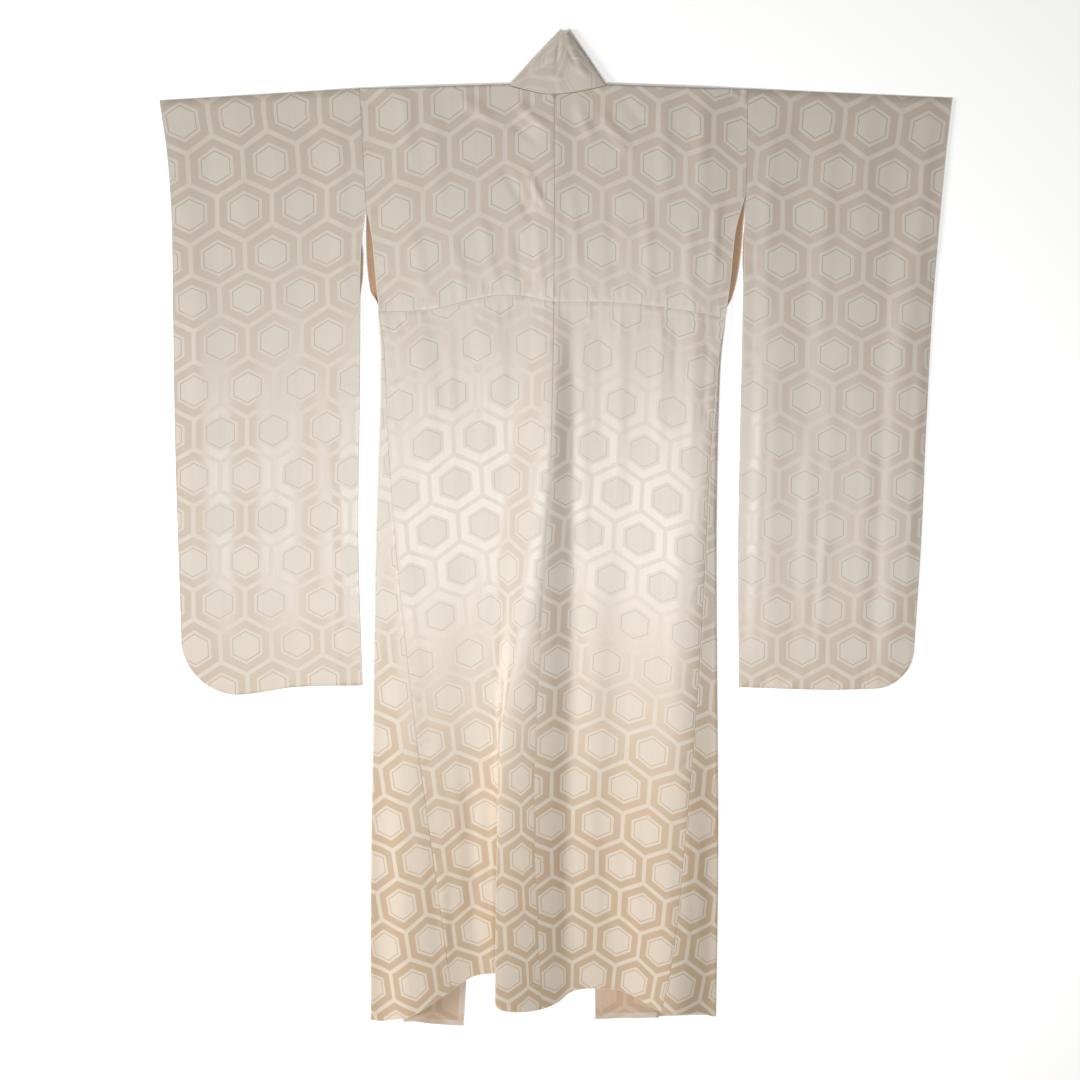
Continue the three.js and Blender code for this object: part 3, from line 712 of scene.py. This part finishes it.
# %% Sleeve measures
SLEEVES = dict(
    left=dict(
        sign=-1, line=LEFT["armhole"], corner=96, showing=4, top=(7, 26), shift=45,
        waves=[(0.06, 3.2, 0.24), (0.5, 1, 0.2), (0.84, 2.6, 0.155)],
        figure_x=[(47, -469), (122, -461), (270, -465), (410, -467), (870, -494), (1000, -497)],
        figure_row=[(-28, -78), (47, 0), (122, 78), (194, 156), (269, 234), (337, 312), (411, 390),
                    (870, 858), (946, 936), (1024, 1014)],
        tilt=[(0, -0.09), (420, -0.075), (870, -0.015), (960, -0.08)],
        inner=[(193, -308), (265, -318), (506, -328), (757, -338), (1023, -338)],
        outer=[(26, -636), (110, -629), (215, -628), (350, -634), (600, -645), (950, -655)],
        bottom=[(0, 1023), (0.38, 1026), (0.68, 1040), (1, 1038)],
        creases=[
            (-600, 40, -606, 330, 26, 0.8), (-560, 60, -566, 420, 22, -0.8), (-512, 30, -508, 300, 29, 1.0),
            (-452, 40, -446, 520, 29, 0.8), (-398, 30, -386, 300, 24, -0.7), (-352, 40, -350, 420, 20, 1.0),
            (-596, 300, -604, 760, 29, 1.1), (-548, 460, -560, 930, 26, -0.9),
            (-500, 420, -516, 980, 29, 1.3), (-446, 560, -452, 1000, 24, -0.8),
            (-404, 380, -410, 980, 26, 1.3), (-364, 480, -366, 1000, 15, 1.1),
            (-622, 520, -630, 900, 15, 0.9), (-378, 640, -382, 1000, 11, -0.7),
        ],
    ),
    right=dict(
        sign=1, line=RIGHT["armhole"], corner=68, showing=2, top=(8, 22), shift=0,
        waves=[(0.2, 2.2, 0.16), (0.55, 1.4, 0.2), (0.86, 2.6, 0.12)],
        figure_x=[(57, 425), (136, 418), (209, 420), (884, 437), (1000, 441)],
        figure_row=[(-22, -78), (57, 0), (136, 78), (209, 156), (884, 858), (957, 936), (1035, 1014)],
        tilt=[(0, 0.105), (209, 0.07), (884, -0.01), (957, 0.01)],
        inner=[(171, 314), (204, 313), (378, 315), (757, 320), (1027, 330)],
        outer=[(22, 641), (127, 636), (344, 631), (560, 633), (757, 637), (958, 637)],
        bottom=[(0, 1026), (0.5, 1031), (0.8, 1029), (1, 1026)],
        creases=[
            (352, 40, 350, 460, 20, 0.9), (398, 30, 392, 300, 26, -0.7), (444, 60, 446, 500, 26, 1.0),
            (502, 30, 506, 320, 29, 0.8), (556, 50, 558, 420, 24, -0.7), (604, 40, 600, 380, 22, 0.9),
            (350, 420, 352, 1000, 16, 1.0), (392, 380, 396, 980, 26, -0.8), (436, 560, 440, 1000, 24, 1.2),
            (492, 400, 494, 960, 29, -0.8), (540, 520, 542, 990, 26, 1.2), (588, 420, 592, 900, 22, -0.8),
            (616, 400, 618, 940, 14, 1.0), (470, 700, 466, 1010, 15, 0.7),
        ],
    ),
)
for cut in SLEEVES.values():
    for down in range(40, 1000, 30):
        here = down + draw.uniform(-9, 9)
        edge = edge_line(cut["line"], cut["inner"], here)
        cut["creases"].append((edge, here, edge + cut["sign"] * draw.uniform(14, 36),
                               here + draw.uniform(-12, 12), draw.uniform(5, 8), draw.uniform(-0.5, 0.8)))
        edge = along(cut["outer"], here)
        cut["creases"].append((edge, here, edge - cut["sign"] * draw.uniform(12, 30),
                               here + draw.uniform(-10, 10), draw.uniform(5, 8), draw.uniform(-0.4, 0.6)))
    for share in range(1, 14):
        x = mix(cut["inner"][-1][1], cut["outer"][-1][1], (share + draw.uniform(-0.3, 0.3)) / 14)
        cut["creases"].append((x, 1040, x + draw.uniform(-6, 6), 1040 - draw.uniform(26, 80),
                               draw.uniform(6, 10), draw.uniform(-0.8, 1.0)))
    cut["bands"] = in_bands(cut["creases"])
    print("sleeve with", len(cut["creases"]), "creases")

# %% Sleeves
SLEEVE_COLUMNS = 60
SLEEVE_ROWS = steps((0.012, 0.97, 0.0075), (0.97, 0.9955, 0.003))
LYING = FLOOR + CLOTH + LAYER_GAP
FOOT = 1.0
SEWN_HEIGHT = FLOOR + 1.2


def half_turn(edge, way, radius, angles):
    """Points round a folded edge, as (down, height)."""
    turns = [math.radians(angle) for angle in angles]
    return [(edge + way * radius * (1 - math.cos(a)), FLOOR + radius * (1 + math.sin(a))) for a in turns]


def sleeve(name, cut):
    sign = cut["sign"]
    armhole_end = cut["line"][1][0]
    cuff_end = cut["top"][1] + CUFF_OPENING

    def across(share, down):
        inner = edge_line(cut["line"], cut["inner"], down) + sign * SEAM_GAP / 2
        return mix(inner, along(cut["outer"], down), share)

    def bottom(share):
        from_edge = abs(across(1, 900) - across(share, 900))
        into = max(cut["corner"] - from_edge, 0)
        return along(cut["bottom"], share) - (cut["corner"] - math.sqrt(cut["corner"] ** 2 - into ** 2))

    def upper(share, down):
        x = across(share, down)
        height = LYING + (EDGE_HEIGHT - LYING) * (1 - ease(share / 0.35))
        fade = ease((down - 190) / 240) * ease((1040 - down) / 160)
        for place, high, half in cut["waves"]:
            height += high * bump((share - place) / half) * fade
        closed = ease((down - cuff_end) / 30) * ease((share - 0.97) / 0.03)
        return mix(height + crease_height(cut["bands"], x, down), SEWN_HEIGHT, closed)

    even = [c / SLEEVE_COLUMNS for c in range(SLEEVE_COLUMNS + 1)]
    shares = [ease(t) * 0.35 + t * 0.65 for t in even]
    columns = []
    for share in shares:
        low_end, high_end = bottom(share), mix(cut["top"][0], cut["top"][1], share)
        length = low_end - high_end
        crown = (upper(share, high_end + 4) - FLOOR) / 2
        column = half_turn(low_end, -1, FOOT, (0, 40, 75))
        column += [(low_end - length * (1 - t), None) for t in reversed(SLEEVE_ROWS)]
        column += half_turn(high_end, 1, crown, (60, 30, 0, -30, -60))
        column += [(low_end - length * (1 - t), FLOOR) for t in SLEEVE_ROWS]
        column += half_turn(low_end, -1, FOOT, (-75, -40, 0))
        columns.append((share, low_end, column))
    rows = Rows()
    over = len(columns[0][2]) // 2
    for r in range(len(columns[0][2])):
        places, cloth, seams, edges = [], [], [], []
        for share, low_end, column in columns:
            down, z = column[r]
            below = ease((down - armhole_end - 50) / 30) * ease((armhole_end + 150 - down) / 40)
            showing = -sign * cut["showing"] * below * (1 - share) if r > over else 0
            x = across(share, down)
            places.append(spot(x + showing, down, upper(share, down) if z is None else z))
            u = x - along(cut["figure_x"], down) + cut["shift"]
            v = along(cut["figure_row"], down - along(cut["tilt"], down) * (u - cut["shift"]))
            cloth.append((u, v if r <= over else -156 - v))
            from_inner, from_outer = abs(x - across(0, down)), abs(across(1, down) - x)
            sewn_in, sewn_out = down < armhole_end, down > cuff_end
            beside = min(from_inner if sewn_in else FAR, from_outer if sewn_out else FAR)
            seams.append(min(beside, abs(low_end - down)))
            edges.append(min(FAR if sewn_in else from_inner, FAR if sewn_out else from_outer))
        rows.add(places, cloth, seams, edges)
    return make_sheet(name, rows, flip=sign < 0, looped=True)


sleeve_left = sleeve("sleeve_left_silk", SLEEVES["left"])
sleeve_right = sleeve("sleeve_right_silk", SLEEVES["right"])

# %% [markdown]
# ## Collar and over-collar
# The collar is a long band. It is sewn round the neck and down both fronts; behind the neck it stands up
# and narrows to a tip where its two sides turn under. The over-collar is a shorter band on its outer
# face, and it is what the photograph shows behind the neck. Both come from one table of rows, each from
# the sewn edge to the free edge, and the over-collar's points are moved out from the collar's. Where the
# collar turns over the shoulder, its base is tucked in by a few millimetres more than the solid's, so that
# no slit shows there.

# %% Rows of the collar
TIP = -78
BAND_LEVELS = [40, 90, 170, OVERLAP_START, 330, OVER_COLLAR_END, 520, 640, 760, COLLAR_END]
WIDER = [(40, 20), (90, 13), (170, 8), (OVERLAP_START, 4), (OVER_COLLAR_END, 0)]
RISE = [(40, 42), (90, 28), (170, 14), (OVERLAP_START, 6), (OVER_COLLAR_END, 0)]
COLLAR_LOW = COLLAR_CLOTH / 2
RAISED = OVER_COLLAR_CLOTH + COLLAR_GAP + COLLAR_LOW
TUCKED = 4


def band_row(side, level):
    line = side["front_inner"] if level < OVERLAP_START else side["overlap_edge"]
    x = along(line, level) - side["sign"] * 0.8
    z = COLLAR_LOW if level > OVER_COLLAR_END else RAISED
    free_x = x - side["sign"] * (COLLAR_WIDTH + along(WIDER, level))
    return x, level, z, free_x, level - along(RISE, level), z


def fold_row(side, angle, tip_x):
    turn = math.radians(angle)
    radius = (BACK_HEIGHT - RAISED) / 2
    down = 0.5 + radius * (1 - math.cos(turn)) + TUCKED * max(math.sin(turn), 0)
    z = RAISED + radius * (1 + math.sin(turn))
    tip_down, tip_z = TIP + 1.6 * (1 - math.cos(turn)), RAISED + 1.5 * (1 + math.sin(turn))
    return side["sign"] * (side["neckline"][3][1] - 2.2), down, z, tip_x, tip_down, tip_z


def nape_row(side, k, tip_x):
    down, x = side["neckline"][k]
    return side["sign"] * x, down - 0.45, BACK_HEIGHT, tip_x, TIP + 1.6, RAISED + 3


COLLAR_ROWS = (
    [band_row(LEFT, level) for level in reversed(BAND_LEVELS)]
    + [fold_row(LEFT, a, x) for a, x in ((-90, 10), (-40, 10.9), (0, 11.7), (40, 12.5))]
    + [nape_row(LEFT, 2, 13.5), nape_row(LEFT, 1, 14.6), nape_row(LEFT, 0, 16), nape_row(RIGHT, 1, 17.4)]
    + [nape_row(RIGHT, 2, 18.5)]
    + [fold_row(RIGHT, a, x) for a, x in ((40, 19.5), (0, 20.3), (-40, 21.1), (-90, 22))]
    + [band_row(RIGHT, level) for level in BAND_LEVELS]
)
print(len(COLLAR_ROWS), "rows of the collar")

# %% Collar pieces
COLLAR_COLUMNS = 26
NAPE_FROM, NAPE_TO, NAPE_BULGE = 13, 19, 2.2
NAPE_CREASES = in_bands([
    (-40, -20, 24, -58, 7, 1.5), (-54, -2, -6, -34, 6, -1.0), (30, -30, 62, -8, 8, 1.3),
    (8, -66, 2, -24, 6, -1.2), (-18, -44, -34, -8, 6, 1.2), (20, -52, 40, -20, 6, -1.0),
    (-8, -12, 14, -10, 8, 0.9), (44, -34, 60, -16, 5, -0.7),
])


def collar_rows(out, first, last, between):
    """The collar's rows with some more between them, moved out along the surface's normal."""
    read = [[(k, row[j]) for k, row in enumerate(COLLAR_ROWS)] for j in range(6)]
    grid = []
    for k in steps((first, last, 1 / between)):
        ax, ad, az, bx, bd, bz = (along(column, k) for column in read)
        row = []
        for c in range(COLLAR_COLUMNS + 1):
            t = c / COLLAR_COLUMNS
            x, down, z = mix(ax, bx, t), mix(ad, bd, t), mix(az, bz, t)
            nape = ease((k - NAPE_FROM) / 1.5) * ease((NAPE_TO - k) / 1.5)
            z += nape * (crease_height(NAPE_CREASES, x, down) + NAPE_BULGE * math.sin(math.pi * t))
            row.append(spot(x, down, z))
        grid.append(row)
    rows = Rows()
    length = 0.0
    for r, row in enumerate(grid):
        before, after = grid[max(r - 1, 0)], grid[min(r + 1, len(grid) - 1)]
        places = []
        for c, p in enumerate(row):
            acrosswise = row[min(c + 1, COLLAR_COLUMNS)] - row[max(c - 1, 0)]
            normal = (after[c] - before[c]).cross(acrosswise).normalized()
            places.append(p + normal * out * MM)
        if r:
            length += (row[0] - grid[r - 1][0]).length / MM
        lengths = arc(places)
        edges = [lengths[-1] - s for s in lengths]
        rows.add(places, [(s + 20, length) for s in lengths], lengths, edges)
    return rows


last_row = len(COLLAR_ROWS) - 1
ends = len(BAND_LEVELS) - 1 - BAND_LEVELS.index(OVER_COLLAR_END)
out = COLLAR_CLOTH / 2 + COLLAR_GAP + OVER_COLLAR_CLOTH / 2
collar = make_sheet("collar_silk", collar_rows(0, 0, last_row, 5), flip=True, thickness=1.6 * MM)
over_collar = make_sheet("over_collar_silk", collar_rows(out, ends, last_row - ends, 8), flip=True)

# %% [markdown]
# ## The tortoiseshell figure
# The figure is a tiling of regular hexagons. Inside each one a wide band, a pale ring and a fine line
# follow its outline. A shader node group works out how far a point of the cloth is from the middle of its
# hexagon, measured square to the sides, and gives a mask for each part of the figure.

# %% Node helpers
def new_group(name, labels):
    """A node group that reads a place on the cloth and gives a value for each label."""
    tree = bpy.data.node_groups.new(name, "ShaderNodeTree")
    tree.interface.new_socket("Cloth", in_out="INPUT", socket_type="NodeSocketVector")
    for label in labels:
        tree.interface.new_socket(label, in_out="OUTPUT", socket_type="NodeSocketFloat")
    return tree, tree.nodes.new("NodeGroupInput"), tree.nodes.new("NodeGroupOutput")


def maths(tree, operation, *values):
    node = tree.nodes.new("ShaderNodeMath")
    node.operation = operation
    for socket, value in zip(node.inputs, values):
        if isinstance(value, (int, float)):
            socket.default_value = value
        else:
            tree.links.new(value, socket)
    return node.outputs[0]


def soft_step(tree, value, low, high):
    node = tree.nodes.new("ShaderNodeMapRange")
    node.interpolation_type = "SMOOTHSTEP"
    tree.links.new(value, node.inputs["Value"])
    node.inputs["From Min"].default_value = low
    node.inputs["From Max"].default_value = high
    return node.outputs["Result"]


def times(tree, value, factor):
    return maths(tree, "MULTIPLY", value, factor)


def fall(tree, value, low, high):
    """One below the low value, and nought above the high one."""
    return maths(tree, "SUBTRACT", 1.0, soft_step(tree, value, low, high))


def ring(tree, value, start, end, soft):
    """One from the start to the end, with soft edges."""
    rise = soft_step(tree, value, start, start + soft)
    return maths(tree, "SUBTRACT", rise, soft_step(tree, value, end, end + soft))


def noise(tree, vector, scale, detail=2.0, stretch=None):
    if stretch:
        mapping = tree.nodes.new("ShaderNodeMapping")
        mapping.inputs["Scale"].default_value = stretch
        tree.links.new(vector, mapping.inputs["Vector"])
        vector = mapping.outputs["Vector"]
    node = tree.nodes.new("ShaderNodeTexNoise")
    tree.links.new(vector, node.inputs["Vector"])
    node.inputs["Scale"].default_value = scale
    node.inputs["Detail"].default_value = detail
    return node.outputs["Fac"]


def blend(tree, factor, a, b, way="MIX"):
    node = tree.nodes.new("ShaderNodeMix")
    node.data_type = "RGBA"
    node.blend_type = way
    for socket, value in ((node.inputs["Factor"], factor), (node.inputs["A"], a), (node.inputs["B"], b)):
        if isinstance(value, (int, float, tuple)):
            socket.default_value = value if isinstance(value, (int, float)) else (*value, 1)
        else:
            tree.links.new(value, socket)
    return node.outputs["Result"]


print("node helpers ready")

# %% The figure as a node group
SATIN_RING = (28.2, 40.7, 1.0)
LINE_RING = (22.2, 23.6, 0.6)
COS_30 = 0.866


def from_middle(tree, u, v, shift_u, shift_v):
    """How far a place is from the middle of the nearest hexagon of one of the two sets."""
    parts = []
    for value, shift, period in ((u, shift_u, REPEAT), (v, shift_v, 2 * ROW)):
        turns = maths(tree, "DIVIDE", maths(tree, "ADD", value, shift), period)
        rest = maths(tree, "SUBTRACT", turns, maths(tree, "ROUND", turns))
        parts.append(maths(tree, "ABSOLUTE", times(tree, rest, period)))
    slant = maths(tree, "ADD", times(tree, parts[0], 0.5), times(tree, parts[1], COS_30))
    return maths(tree, "MAXIMUM", parts[0], slant)


def make_figure():
    tree, inside, outside = new_group("tortoiseshell_figure", ["Band", "Line"])
    split = tree.nodes.new("ShaderNodeSeparateXYZ")
    tree.links.new(inside.outputs["Cloth"], split.inputs[0])
    u, v = (times(tree, split.outputs[k], 1 / MM) for k in (0, 1))
    sets = from_middle(tree, u, v, 0.0, 0.0), from_middle(tree, u, v, REPEAT / 2, ROW)
    distance = maths(tree, "MINIMUM", *sets)
    tree.links.new(ring(tree, distance, *SATIN_RING), outside.inputs["Band"])
    tree.links.new(ring(tree, distance, *LINE_RING), outside.inputs["Line"])
    return tree


figure_group = make_figure()
print("figure group:", len(figure_group.nodes), "nodes")

# %% [markdown]
# ## Silk
# Figured silk shows its figure by gloss as much as by colour. The bands are satin: where they mirror a
# light they are brighter than the ground, and elsewhere they are darker. So the bands get a darker colour
# with a soft coat over it, and the ground stays nearly matt. A second group gives the weave: fine ribs
# along and across the cloth, uneven threads, and a faint cloudiness from age.

# %% The weave as a node group
def make_weave():
    tree, inside, outside = new_group("silk_weave", ["Height", "Streaks", "Clouds"])
    cloth = inside.outputs["Cloth"]
    along_threads = noise(tree, cloth, 1.0, 3.0, (1400, 60, 1))
    across_threads = noise(tree, cloth, 1.0, 2.0, (70, 1100, 1))
    slubs = noise(tree, cloth, 1.0, 3.0, (220, 7, 1))
    clouds = noise(tree, cloth, 9.0, 4.0)
    height = maths(tree, "ADD", times(tree, along_threads, 0.6), times(tree, across_threads, 0.4))
    for label, value in (("Height", height), ("Streaks", slubs), ("Clouds", clouds)):
        tree.links.new(value, outside.inputs[label])
    return tree


weave_group = make_weave()
print("weave group:", len(weave_group.nodes), "nodes")

# %% [markdown]
# The face of the silk and its reverse are materials of their own. Both darken a little in the seams, where
# the stitches draw the cloth in, and the face is made warmer and a little darker towards the hem, the bands
# most. On the reverse the figure shows only faintly, in a warm tan, with a mottled pale border along each
# free edge, and in the upper part the inside is painted browner, as painted shade for the shadow between
# the layers at the armholes. The collar's figure is painted fainter, which stands in for the collar lying
# in a different light, so it has a third material.

# %% Silk materials
IVORY, SATIN, LINE = (0.66, 0.60, 0.52), (0.555, 0.475, 0.385), (0.33, 0.25, 0.18)
THREAD_SHADE = (0.34, 0.24, 0.155)
REVERSE, REVERSE_SATIN = (0.57, 0.41, 0.29), (0.50, 0.345, 0.23)
# the face is made warmer and a little darker towards the hem, the satin bands most
HEM_WARMTH, HEM_WARMTH_SATIN = (1.0, 0.94, 0.88), (0.95, 0.82, 0.67)
# painted shade: a browner inside near the armholes, for the shadow between the layers
PAINTED_INSIDE_SHADE = (0.46, 0.26, 0.13)
HEM_WARMTH_FROM, HEM_WARMTH_FULLY = 0.03, -0.50
FACE_LOOK = dict(ground=IVORY, band=SATIN, line=0.7, satin_coat=0.62, plain_coat=0.14)
REVERSE_LOOK = dict(ground=REVERSE, band=REVERSE_SATIN, line=0.2, satin_coat=0.15, plain_coat=0.1)
CONSTANTS = {"Coat Roughness": 0.42, "Coat IOR": 1.8, "Sheen Weight": 0.12, "Sheen Roughness": 0.4}


def group_node(tree, group, vector):
    node = tree.nodes.new("ShaderNodeGroup")
    node.node_tree = group
    tree.links.new(vector, node.inputs["Cloth"])
    return node


def attribute(tree, name):
    node = tree.nodes.new("ShaderNodeAttribute")
    node.attribute_name = name
    return node.outputs["Fac"]


def silk_material(name, look, strength=1.0):
    material = bpy.data.materials.new(name)
    material.use_nodes = True
    tree = material.node_tree
    shader = tree.nodes["Principled BSDF"]
    cloth = tree.nodes.new("ShaderNodeUVMap")
    cloth.uv_map = "cloth"
    figure = group_node(tree, figure_group, cloth.outputs[0])
    weave = group_node(tree, weave_group, cloth.outputs[0])
    band, line = figure.outputs["Band"], figure.outputs["Line"]
    colour = blend(tree, times(tree, band, strength), look["ground"], look["band"])
    colour = blend(tree, times(tree, line, look["line"] * strength), colour, LINE)
    for part, low, high in (("Streaks", 0.35, 0.75), ("Clouds", 0.4, 0.8)):
        uneven = soft_step(tree, weave.outputs[part], low, high)
        colour = blend(tree, times(tree, uneven, 0.10), colour, SATIN)
    in_seam = fall(tree, attribute(tree, "seam"), 0.2, 1.1)
    colour = blend(tree, times(tree, in_seam, 0.7), colour, THREAD_SHADE)
    along_garment = tree.nodes.new("ShaderNodeSeparateXYZ")
    tree.links.new(tree.nodes.new("ShaderNodeTexCoord").outputs["Object"], along_garment.inputs[0])
    up = along_garment.outputs["Y"]
    if look is REVERSE_LOOK:
        turned_hem = fall(tree, attribute(tree, "edge"), 11.0, 12.5)
        mottled = times(tree, turned_hem, soft_step(tree, weave.outputs["Clouds"], 0.35, 0.6))
        colour = blend(tree, times(tree, mottled, 0.6), colour, IVORY)
        # painted shade: the reverse turns browner in the upper part, for the shadow between the layers at
        # the armholes
        colour = blend(tree, soft_step(tree, up, 0.2, 0.4), colour, PAINTED_INSIDE_SHADE)
    at_edge = fall(tree, attribute(tree, "edge"), 1.0, 2.0)
    colour = blend(tree, times(tree, at_edge, 0.8), colour, IVORY)
    if look is not REVERSE_LOOK:
        # warmer and a little darker towards the hem, the bands most
        hem_warmth = blend(tree, band, HEM_WARMTH, HEM_WARMTH_SATIN)
        colour = blend(tree, fall(tree, up, HEM_WARMTH_FULLY, HEM_WARMTH_FROM), colour, hem_warmth, way="MULTIPLY")
    tree.links.new(colour, shader.inputs["Base Color"])
    satin = times(tree, band, look["satin_coat"] * strength)
    coat = maths(tree, "ADD", satin, times(tree, line, 0.4))
    tree.links.new(maths(tree, "ADD", coat, look["plain_coat"]), shader.inputs["Coat Weight"])
    rough = maths(tree, "ADD", times(tree, weave.outputs["Streaks"], 0.12), 0.5)
    tree.links.new(maths(tree, "ADD", rough, times(tree, band, -0.12)), shader.inputs["Roughness"])
    bump_node = tree.nodes.new("ShaderNodeBump")
    bump_node.inputs["Strength"].default_value = 0.25
    bump_node.inputs["Distance"].default_value = 0.15 * MM
    relief = maths(tree, "ADD", weave.outputs["Height"], times(tree, band, 0.5))
    tree.links.new(relief, bump_node.inputs["Height"])
    tree.links.new(bump_node.outputs["Normal"], shader.inputs["Normal"])
    for socket, value in CONSTANTS.items():
        shader.inputs[socket].default_value = value
    return material


silk = silk_material("silk_face", FACE_LOOK)
silk_reverse = silk_material("silk_reverse", REVERSE_LOOK)
# painted light: the collar's fainter figure stands in for the collar lying in a different light; it is the
# same silk
silk_collar = silk_material("silk_collar", FACE_LOOK, strength=0.5)
print("materials:", silk.name, silk_reverse.name, silk_collar.name)

# %% [markdown]
# ## Dressing the frame
# Each sheet takes a face material and the reverse, stands for its node, and rides on the one body of the
# garment. The table also gives the size that each was cut to, all round on a sleeve.

# %% Dressing the frame
SHEETS = [
    (body_left, "body_left", "figured_silk", (0.33, 3.40), ["overlap_left"]),
    (body_right, "body_right", "figured_silk", (0.34, 3.40), ["overlap_right"]),
    (overlap_left, "overlap_left", "figured_silk", (0.145, 1.44), ["body_left"]),
    (overlap_right, "overlap_right", "figured_silk", (0.145, 1.43), ["body_right"]),
    (sleeve_left, "sleeve_left", "figured_silk", (0.32, 2.06), ["body_left"]),
    (sleeve_right, "sleeve_right", "figured_silk", (0.32, 2.05), ["body_right"]),
    (collar, "collar", "collar_silk", (0.066, 1.97), ["over_collar"]),
    (over_collar, "over_collar", "collar_silk", (0.077, 1.06), ["collar"]),
]
for piece, node, slot, flat, under in SHEETS:
    piece.data.materials.append(silk_collar if slot == "collar_silk" else silk)
    piece.data.materials.append(silk_reverse)
    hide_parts(node)
    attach(piece, "root")
print(len(SHEETS), "sheets dressed")

# %% [markdown]
# ## Floor and light
# The garment lies on a plain pale floor. One long soft light hangs where the middle of the back mirrors
# it, which lights up the satin bands there; a large soft light from the left shapes the folds; and a
# warm pale world fills the shadows.

# %% Floor and light
bm = bmesh.new()
bmesh.ops.create_grid(bm, x_segments=1, y_segments=1, size=20)
floor_mesh = bpy.data.meshes.new("floor")
bm.to_mesh(floor_mesh)
bm.free()
floor = bpy.data.objects.new("floor", floor_mesh)
bpy.context.scene.collection.objects.link(floor)
paint = bpy.data.materials.new("pale_floor")
paint.use_nodes = True
table_top = paint.node_tree.nodes["Principled BSDF"]
table_top.inputs["Base Color"].default_value = (0.95, 0.95, 0.95, 1)
table_top.inputs["Roughness"].default_value = 0.9
table_top.inputs["Emission Color"].default_value = (1, 1, 1, 1)
table_top.inputs["Emission Strength"].default_value = 0.3
floor_mesh.materials.append(paint)


def area_light(name, place, aim, size, watts, colour):
    data = bpy.data.lights.new(name, "AREA")
    data.shape = "RECTANGLE"
    data.size, data.size_y = size
    data.energy = watts
    data.color = colour
    light = bpy.data.objects.new(name, data)
    bpy.context.scene.collection.objects.link(light)
    light.location = place
    light.rotation_euler = (Vector(aim) - Vector(place)).to_track_quat("-Z", "Y").to_euler()


area_light("mirror_light", (-0.11, -0.32, 1.95), (-0.11, -0.32, 0), (1.35, 0.46), 31, (0.985, 0.99, 1))
area_light("side_light", (-6.0, -0.2, 2.4), (0, -0.1, 0), (2, 2), 292, (1, 0.985, 0.965))
world = bpy.data.worlds.new("studio")
world.use_nodes = True
world.node_tree.nodes["Background"].inputs["Color"].default_value = (1, 0.97, 0.93, 1)
world.node_tree.nodes["Background"].inputs["Strength"].default_value = 0.14
bpy.context.scene.world = world
bpy.context.scene.view_settings.view_transform = "Standard"
print("lights and floor ready")
